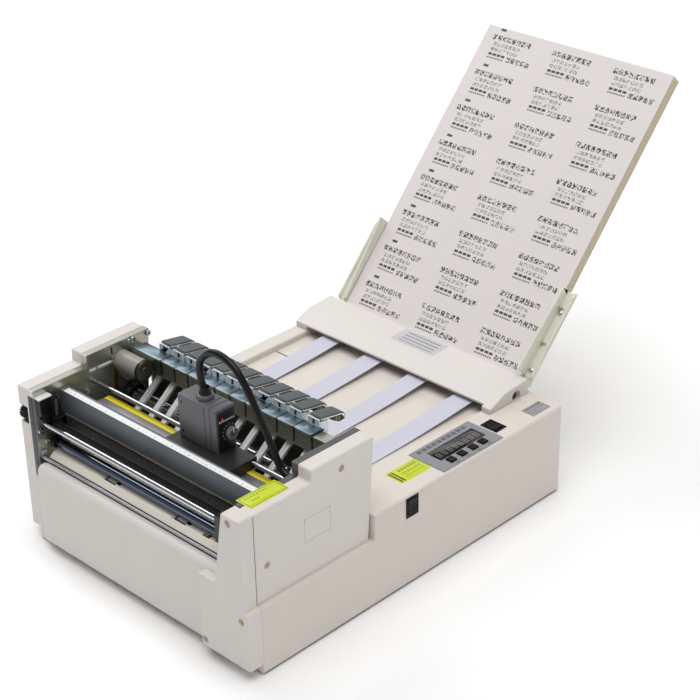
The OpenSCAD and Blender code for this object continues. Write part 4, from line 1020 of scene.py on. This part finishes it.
cover_frame = rim("cover_frame", (141.9, -121.8, 93), (142.35, -94, 114), 0.9, 0.12, "x")
give(cover_frame, "machine", "ivory_plastic", cover_white)
# Painted shade: a black strip in the seam between the column and the right cover.
give(slab("cover_seam", (129, -173.3, 62.5), (142.06, -172.7, 141)), "machine", "black_plastic", black)
screw_beige = moulded("beige screw", paint(196, 178, 140), 0.4)
dress("cover_screws", "cover_screw_heads", "machine", "brass", screw_beige, 0.2)

# Feed head: an ivory hood over the back of the channel that holds the pickup roller, with a film of plain
# lines on it. Four thin straps of lilac-white plastic run from it down to the channel floor and keep the
# sheet flat.
head_ivory = moulded("head ivory", paint(222, 217, 212), 0.4)
end_recess = [((111, 162, 88.5), 9)]
dress("feed_head", "hood", "machine", "ivory_plastic", head_ivory, 1.0, 3, 12, False, end_recess)
patch_film, shader, where = new_finish("lilac patch film", 0.3)
x, y = along(where, "X"), along(where, "Y")
lines = comb(y - 1, 4.6, 1.9) * comb(x, 2.9, 2.2) * (x > -22) * (x < 17) * (y > 157) * (y < 172)
feed(shader, "Base Color", lines.mix(paint(196, 194, 197), paint(128, 127, 131)))
feed(shader, "Roughness", noise(where, 400.0) * 0.1 + 0.25)
patch = prism("hood_patch", [(154.2, 98.0), (175, 99.48), (175, 99.6), (154.2, 98.12)], -29, 22)
give(patch, "machine", "paper", patch_film)
channel_slot = slab("channel_slot", (-111.8, 91, 78.9), (-96, 92.2, 79.12), 0.03)
give(channel_slot, "machine", "black_plastic", tail_grey)
strap_lilac, shader, where = new_finish("strap plastic", 0.3)
feed(shader, "Base Color", noise(where, 8.0).mix(paint(198, 198, 211), paint(204, 204, 216)))
feed(shader, "Roughness", noise(where, 20.0) * 0.1 + 0.3)
strap_places = (-83, -30, 23, 76)
bpy.ops.object.select_all(action="DESELECT")
bpy.ops.mesh.primitive_grid_add(x_subdivisions=4, y_subdivisions=40, size=1)
strap = bpy.context.object
strap.name = "strap_1"
for vertex in strap.data.vertices:
    t = vertex.co.y + 0.5
    vertex.co = at(strap_places[0] + vertex.co.x * 20, -26 + 170 * t, 79.35 + 6.9 * t ** 2.4)
thick = strap.modifiers.new("thick", "SOLIDIFY")
thick.thickness = 0.0006
thick.offset = 1
bpy.ops.object.modifier_apply(modifier="thick")
smooth(strap, 30)
for number, x in enumerate(strap_places, 1):
    piece = strap if number == 1 else copy_of(strap, "strap_%d" % number, (x - strap_places[0], 0, 0))
    give(piece, "machine", "strap_plastic", strap_lilac, *(("feed_straps",) if number == 1 else ()))

# Hopper: a ribbed ivory plate on the back of the base carries the stack. Two ivory side guides, each one
# moulding, slide on it to the width of the sheets.
dress("hopper_plate", "hopper_back", "machine", "ivory_plastic", ivory, 0.5)
guide_ivory = moulded("guide ivory", paint(232, 230, 215), 0.4)
for side in ("left", "right"):
    dress(side + "_guide", side + "_stack_guide", side + "_guide", "ivory_plastic", guide_ivory, 0.8, 3)

# Label stack: A4 sheets of three columns of labels, 70 by 37 mm. The front sheet shows plain blocks where the
# print would be, and the pile's edges show the backing paper, sheet by sheet. The right guide's two steel
# screws lie on the same slope.
slope = radians(47.5)
stack_y, stack_z = 178, 95.5
label_wide, label_tall = 70, 37.125


def on_stack(x, up, back):
    """A point of the stack: across, up the slope and behind the front sheet, in millimetres."""
    return x, stack_y + up * cos(slope) + back * sin(slope), stack_z + up * sin(slope) - back * cos(slope)


def sheet_block(name, x0, x1, up0, up1, back0, back1):
    """A flat pile of sheets lying on the slope."""
    bpy.ops.object.select_all(action="DESELECT")
    bpy.ops.mesh.primitive_cube_add(size=1)
    piece = bpy.context.object
    piece.name = name
    for vertex in piece.data.vertices:
        corner = vertex.co.copy()
        vertex.co = at(*on_stack(
            x1 if corner.x > 0 else x0, up1 if corner.y > 0 else up0, back1 if corner.z > 0 else back0
        ))
    bpy.ops.object.mode_set(mode="EDIT")
    bpy.ops.mesh.select_all(action="SELECT")
    bpy.ops.mesh.bevel(offset=0.00008, segments=1, affect="EDGES")
    bpy.ops.mesh.normals_make_consistent(inside=False)
    bpy.ops.object.mode_set(mode="OBJECT")
    return piece


for number, up in enumerate((10.5, 66), 1):
    place = on_stack(107, up, 1.05)
    screw = lathe("guide_screw_%d" % number, place, [
        (0, 0), (0, 2.2), (0.7, 2.2), (1.2, 1.6), (1.3, 0.9), (0.7, 0.8), (0.7, 0),
    ], "z", 24)
    middle = Matrix.Translation(at(*place))
    screw.data.transform(middle @ Matrix.Rotation(slope, 4, "X") @ middle.inverted())
    give(screw, "right_guide", "chrome", bright_screw)

paper, shader, where = new_finish("printed label paper", 0.6)
x, y, z = along(where, "X"), along(where, "Y") - stack_y, along(where, "Z") - stack_z
up = y * cos(slope) + z * sin(slope)
back = y * sin(slope) - z * cos(slope)
label_column = (x + 108.5) / label_wide
label_row = up / label_tall
in_x = label_column.fraction() * label_wide
in_y = label_row.fraction() * label_tall
cell = in_x.node("CombineXYZ", None, {0: x.math("FLOOR", x), 1: up.math("FLOOR", up), 2: 0.0})
speck = cell.node("TexWhiteNoise", {"noise_dimensions": "2D"}, {"Vector": cell}) > 0.42


def block_row(low, high, left, right, pitch, gap):
    """A row of small dark blocks on every label, as far-off print looks."""
    place = (in_x - left) / pitch
    inside = (in_y > low) * (in_y < high) * (in_x > left) * (in_x < right)
    return inside * (place.fraction() < 1 - gap)


ink = block_row(24.2, 29.4, 10, 55, 5.7, 0.2) * speck * 0.95
ink = ink.most(block_row(18.4, 22, 14, 46, 4.6, 0.2) * speck * 0.6)
ink = ink.most(block_row(13, 16.6, 14, 46, 4.6, 0.2) * speck * 0.6)
ink = ink.most(block_row(8.8, 11.2, 14, 33, 5.0, 0.2) * 0.95)
ink = ink.most(block_row(5.6, 7.2, 14, 33, 2.5, 0.3) * 0.8)
ink = ink.most(block_row(5.8, 11, 36, 64, 5.6, 0.2) * speck * 0.9)
label_edge = comb(label_column * label_wide, label_wide, 0.4).most(comb(up, label_tall, 0.4)) * 0.06
dash = (x > -93.5) * (x < -87.5) * comb(up + 2, label_tall, 2.4)
front = back < 0.3
ink = ink.most(label_edge).most(dash * 0.95) * front
leaf = (back * 5.2).fraction()
leaf_edges = leaf.mix(paint(196, 182, 152), paint(234, 226, 206))
page = noise(where, 30.0, 3.0).mix(paint(224, 217, 215), paint(230, 224, 222))
feed(shader, "Base Color", ink.mix(front.mix(leaf_edges, page), paint(56, 55, 58)))
feed(shader, "Roughness", noise(where, 120.0, 3.0) * 0.2 + 0.45)
pile_shifts = (0.0, 0.35, -0.3, 0.15, 0.5, -0.45, 0.1, -0.2, 0.4, 0.0, -0.35, 0.2)
pile_drops = (0.2, -0.3, 0.1, 0.5, -0.2, 0.3, -0.5, 0.0, 0.2, -0.4, 0.3, 0.0)
layers = []
for number, (shift, drop) in enumerate(zip(pile_shifts, pile_drops)):
    back0 = 0.35 + number * 0.885
    layers.append(sheet_block(
        "layer", -108.0 + shift, 101.0 + shift, 0.6 + drop, 296.4 + drop, back0, back0 + 0.86
    ))
give(joined("sheet_pile", layers), "machine", "paper", paper, "label_stack")
give(sheet_block("front_sheet", -108.5, 101.5, 0.2, 296.9, 0.05, 0.27), "machine", "paper", paper)

# Controls: a grey printed film over the panel, a dark digit display, four black push buttons and two black
# rocker switches in snap-in frames, one on the deck and one, with a green lens, on the side. The board is
# under the deck.
film_grey, shader, where = new_finish("panel film", 0.34)
x, y = along(where, "X"), along(where, "Y")
blocks = comb(y + 1.1, 6.0, 4.4) * (x > 107.2) * (x < 111.4) * (y > 37) * (y < 99)
gaps = comb(x, 1.1, 0.22).most(comb(y, 1.7, 0.34))
dashes = comb(y - 0.5, 13.0, 5.0) * (x > 141) * (x < 142.2) * (y > 44) * (y < 98)
ink = (blocks * (1 - gaps)).most(dashes * 0.6)
tone = noise(where, 30.0, 3.0).mix(paint(133, 135, 140), paint(139, 141, 146))
feed(shader, "Base Color", ink.mix(tone, paint(24, 24, 26)))
feed(shader, "Roughness", noise(where, 300.0) * 0.12 + 0.3)
dress("control_panel", "panel", "machine", "grey_panel", film_grey, 0.2)
board_green = moulded("circuit board lacquer", paint(30, 84, 50), 0.3)
dress("circuit_board", "board", "machine", "green_board", board_green, 0)
switch_black = rubber("switch black", paint(6, 6, 7), 0.5, 0.2)
for number in range(1, 5):
    node = "button_%d" % number
    dress(node, "push_" + node, node, "black_plastic", switch_black, 0.5, 3)
green_lens, shader, where = new_finish("black rocker with a green lens", 0.3)
shader.inputs["Specular IOR Level"].default_value = 0.2
lens = along(where, "Z") > 79.0
lens_green = noise(where, 300.0).mix(paint(6, 44, 30), paint(10, 62, 42))
feed(shader, "Base Color", lens.mix(paint(6, 6, 7), lens_green))
feed(shader, "Roughness", noise(where, 400.0) * 0.1 + 0.4)
for node, material in (("top_switch", switch_black), ("side_switch", green_lens)):
    dress(node, node + "_rocker", node, "black_plastic", material, 0.4, 3)
for name, low, high, width, thin in (
    ("rocker_rim", (116.4, 108.5, 85), (134.2, 121.9, 85.7), 1.5, "z"),
    ("side_rocker_rim", (146.5, -15.2, 65.3), (147.2, -1.2, 83.5), 1.4, "x"),
):
    give(rim(name, low, high, width, 0.2, thin), "machine", "black_plastic", switch_black)
display, shader, where = new_finish("display window", 0.12)
x, y = along(where, "X") - 115.2, along(where, "Y") - 46
digit_wide = 6.5
in_digit = (y / digit_wide).fraction() * digit_wide
digit_body = (in_digit > 1.2) * (in_digit < 5.2) * ((x > 5.4) * (x < 11.2))
hollow = (in_digit > 2.0) * (in_digit < 4.4) * (((x > 6.1) * (x < 8.0)) + ((x > 8.6) * (x < 10.5)))
digit_ink = digit_body * (1 - hollow) * (y > 0) * (y < 8 * digit_wide)
feed(shader, "Base Color", digit_ink.mix(paint(34, 31, 30), paint(124, 120, 114)))
feed(shader, "Roughness", noise(where, 300.0) * 0.08 + 0.08)
window = slab("display_window", (114.9, 44.4, 84.8), (130.1, 99.1, 85.45), 0.1)
give(window, "machine", "black_plastic", display)

# Stickers: three thin printed films stuck on the deck, on top of the right cover and by the feed head. Two
# are lime yellow and one is silver grey, with plain bars and borders in place of words.


def sticker(name, tones, low, high, bars, border=0.0):
    """A thin film with plain bars printed on it, each bar as (x0, x1, y0, y1, pitch along y, darkness)."""
    material, shader, where = new_finish(name, 0.4)
    x, y = along(where, "X"), along(where, "Y")
    ink = x * 0
    for x0, x1, y0, y1, pitch, dark in bars:
        inside = (x > x0) * (x < x1) * (y > y0) * (y < y1) * dark
        if pitch:
            inside = inside * comb(y, pitch, pitch * 0.7)
        ink = ink.most(inside)
    if border:
        outer, inner = (
            (x > low[0] + inset) * (x < high[0] - inset) * (y > low[1] + inset) * (y < high[1] - inset)
            for inset in (1.3, 1.3 + border)
        )
        ink = ink.most(outer - inner)
    feed(shader, "Base Color", ink.mix(noise(where, 60.0, 3.0).mix(*tones), paint(40, 44, 22)))
    feed(shader, "Roughness", noise(where, 400.0) * 0.15 + 0.3)
    return give(slab(name, low, high, 0.04), "machine", "paper", material)


lime = (paint(196, 212, 30), paint(206, 220, 48))
sticker("deck_sticker", lime, (111, -2, 85), (130.5, 32.5, 85.15), [
    (112.6, 129, -0.4, 4.4, 4.0, 0.95), (113.5, 117, 8, 30, 3.4, 0.55), (119, 122, 8, 30, 2.6, 0.45),
    (123.6, 126.2, 8, 30, 2.6, 0.35), (127.4, 129.2, 8, 30, 0, 0.12),
])
sticker("cover_sticker", lime, (118, -167.5, 142.5), (135, -128.5, 142.64), [
    (121.5, 123.4, -164, -141, 3.0, 0.45), (126.5, 128.4, -160, -152, 2.6, 0.5),
    (131, 132.4, -164, -132, 2.4, 0.3),
], 0.5)
sticker("rating_sticker", (paint(150, 150, 152), paint(170, 170, 172)), (126, 150, 85), (140, 173, 85.15), [
    (128, 130, 152, 171, 2.4, 0.6), (132, 133.6, 152, 171, 2.0, 0.5), (135.6, 137, 152, 164, 2.0, 0.5),
], 0.3)

low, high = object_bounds()
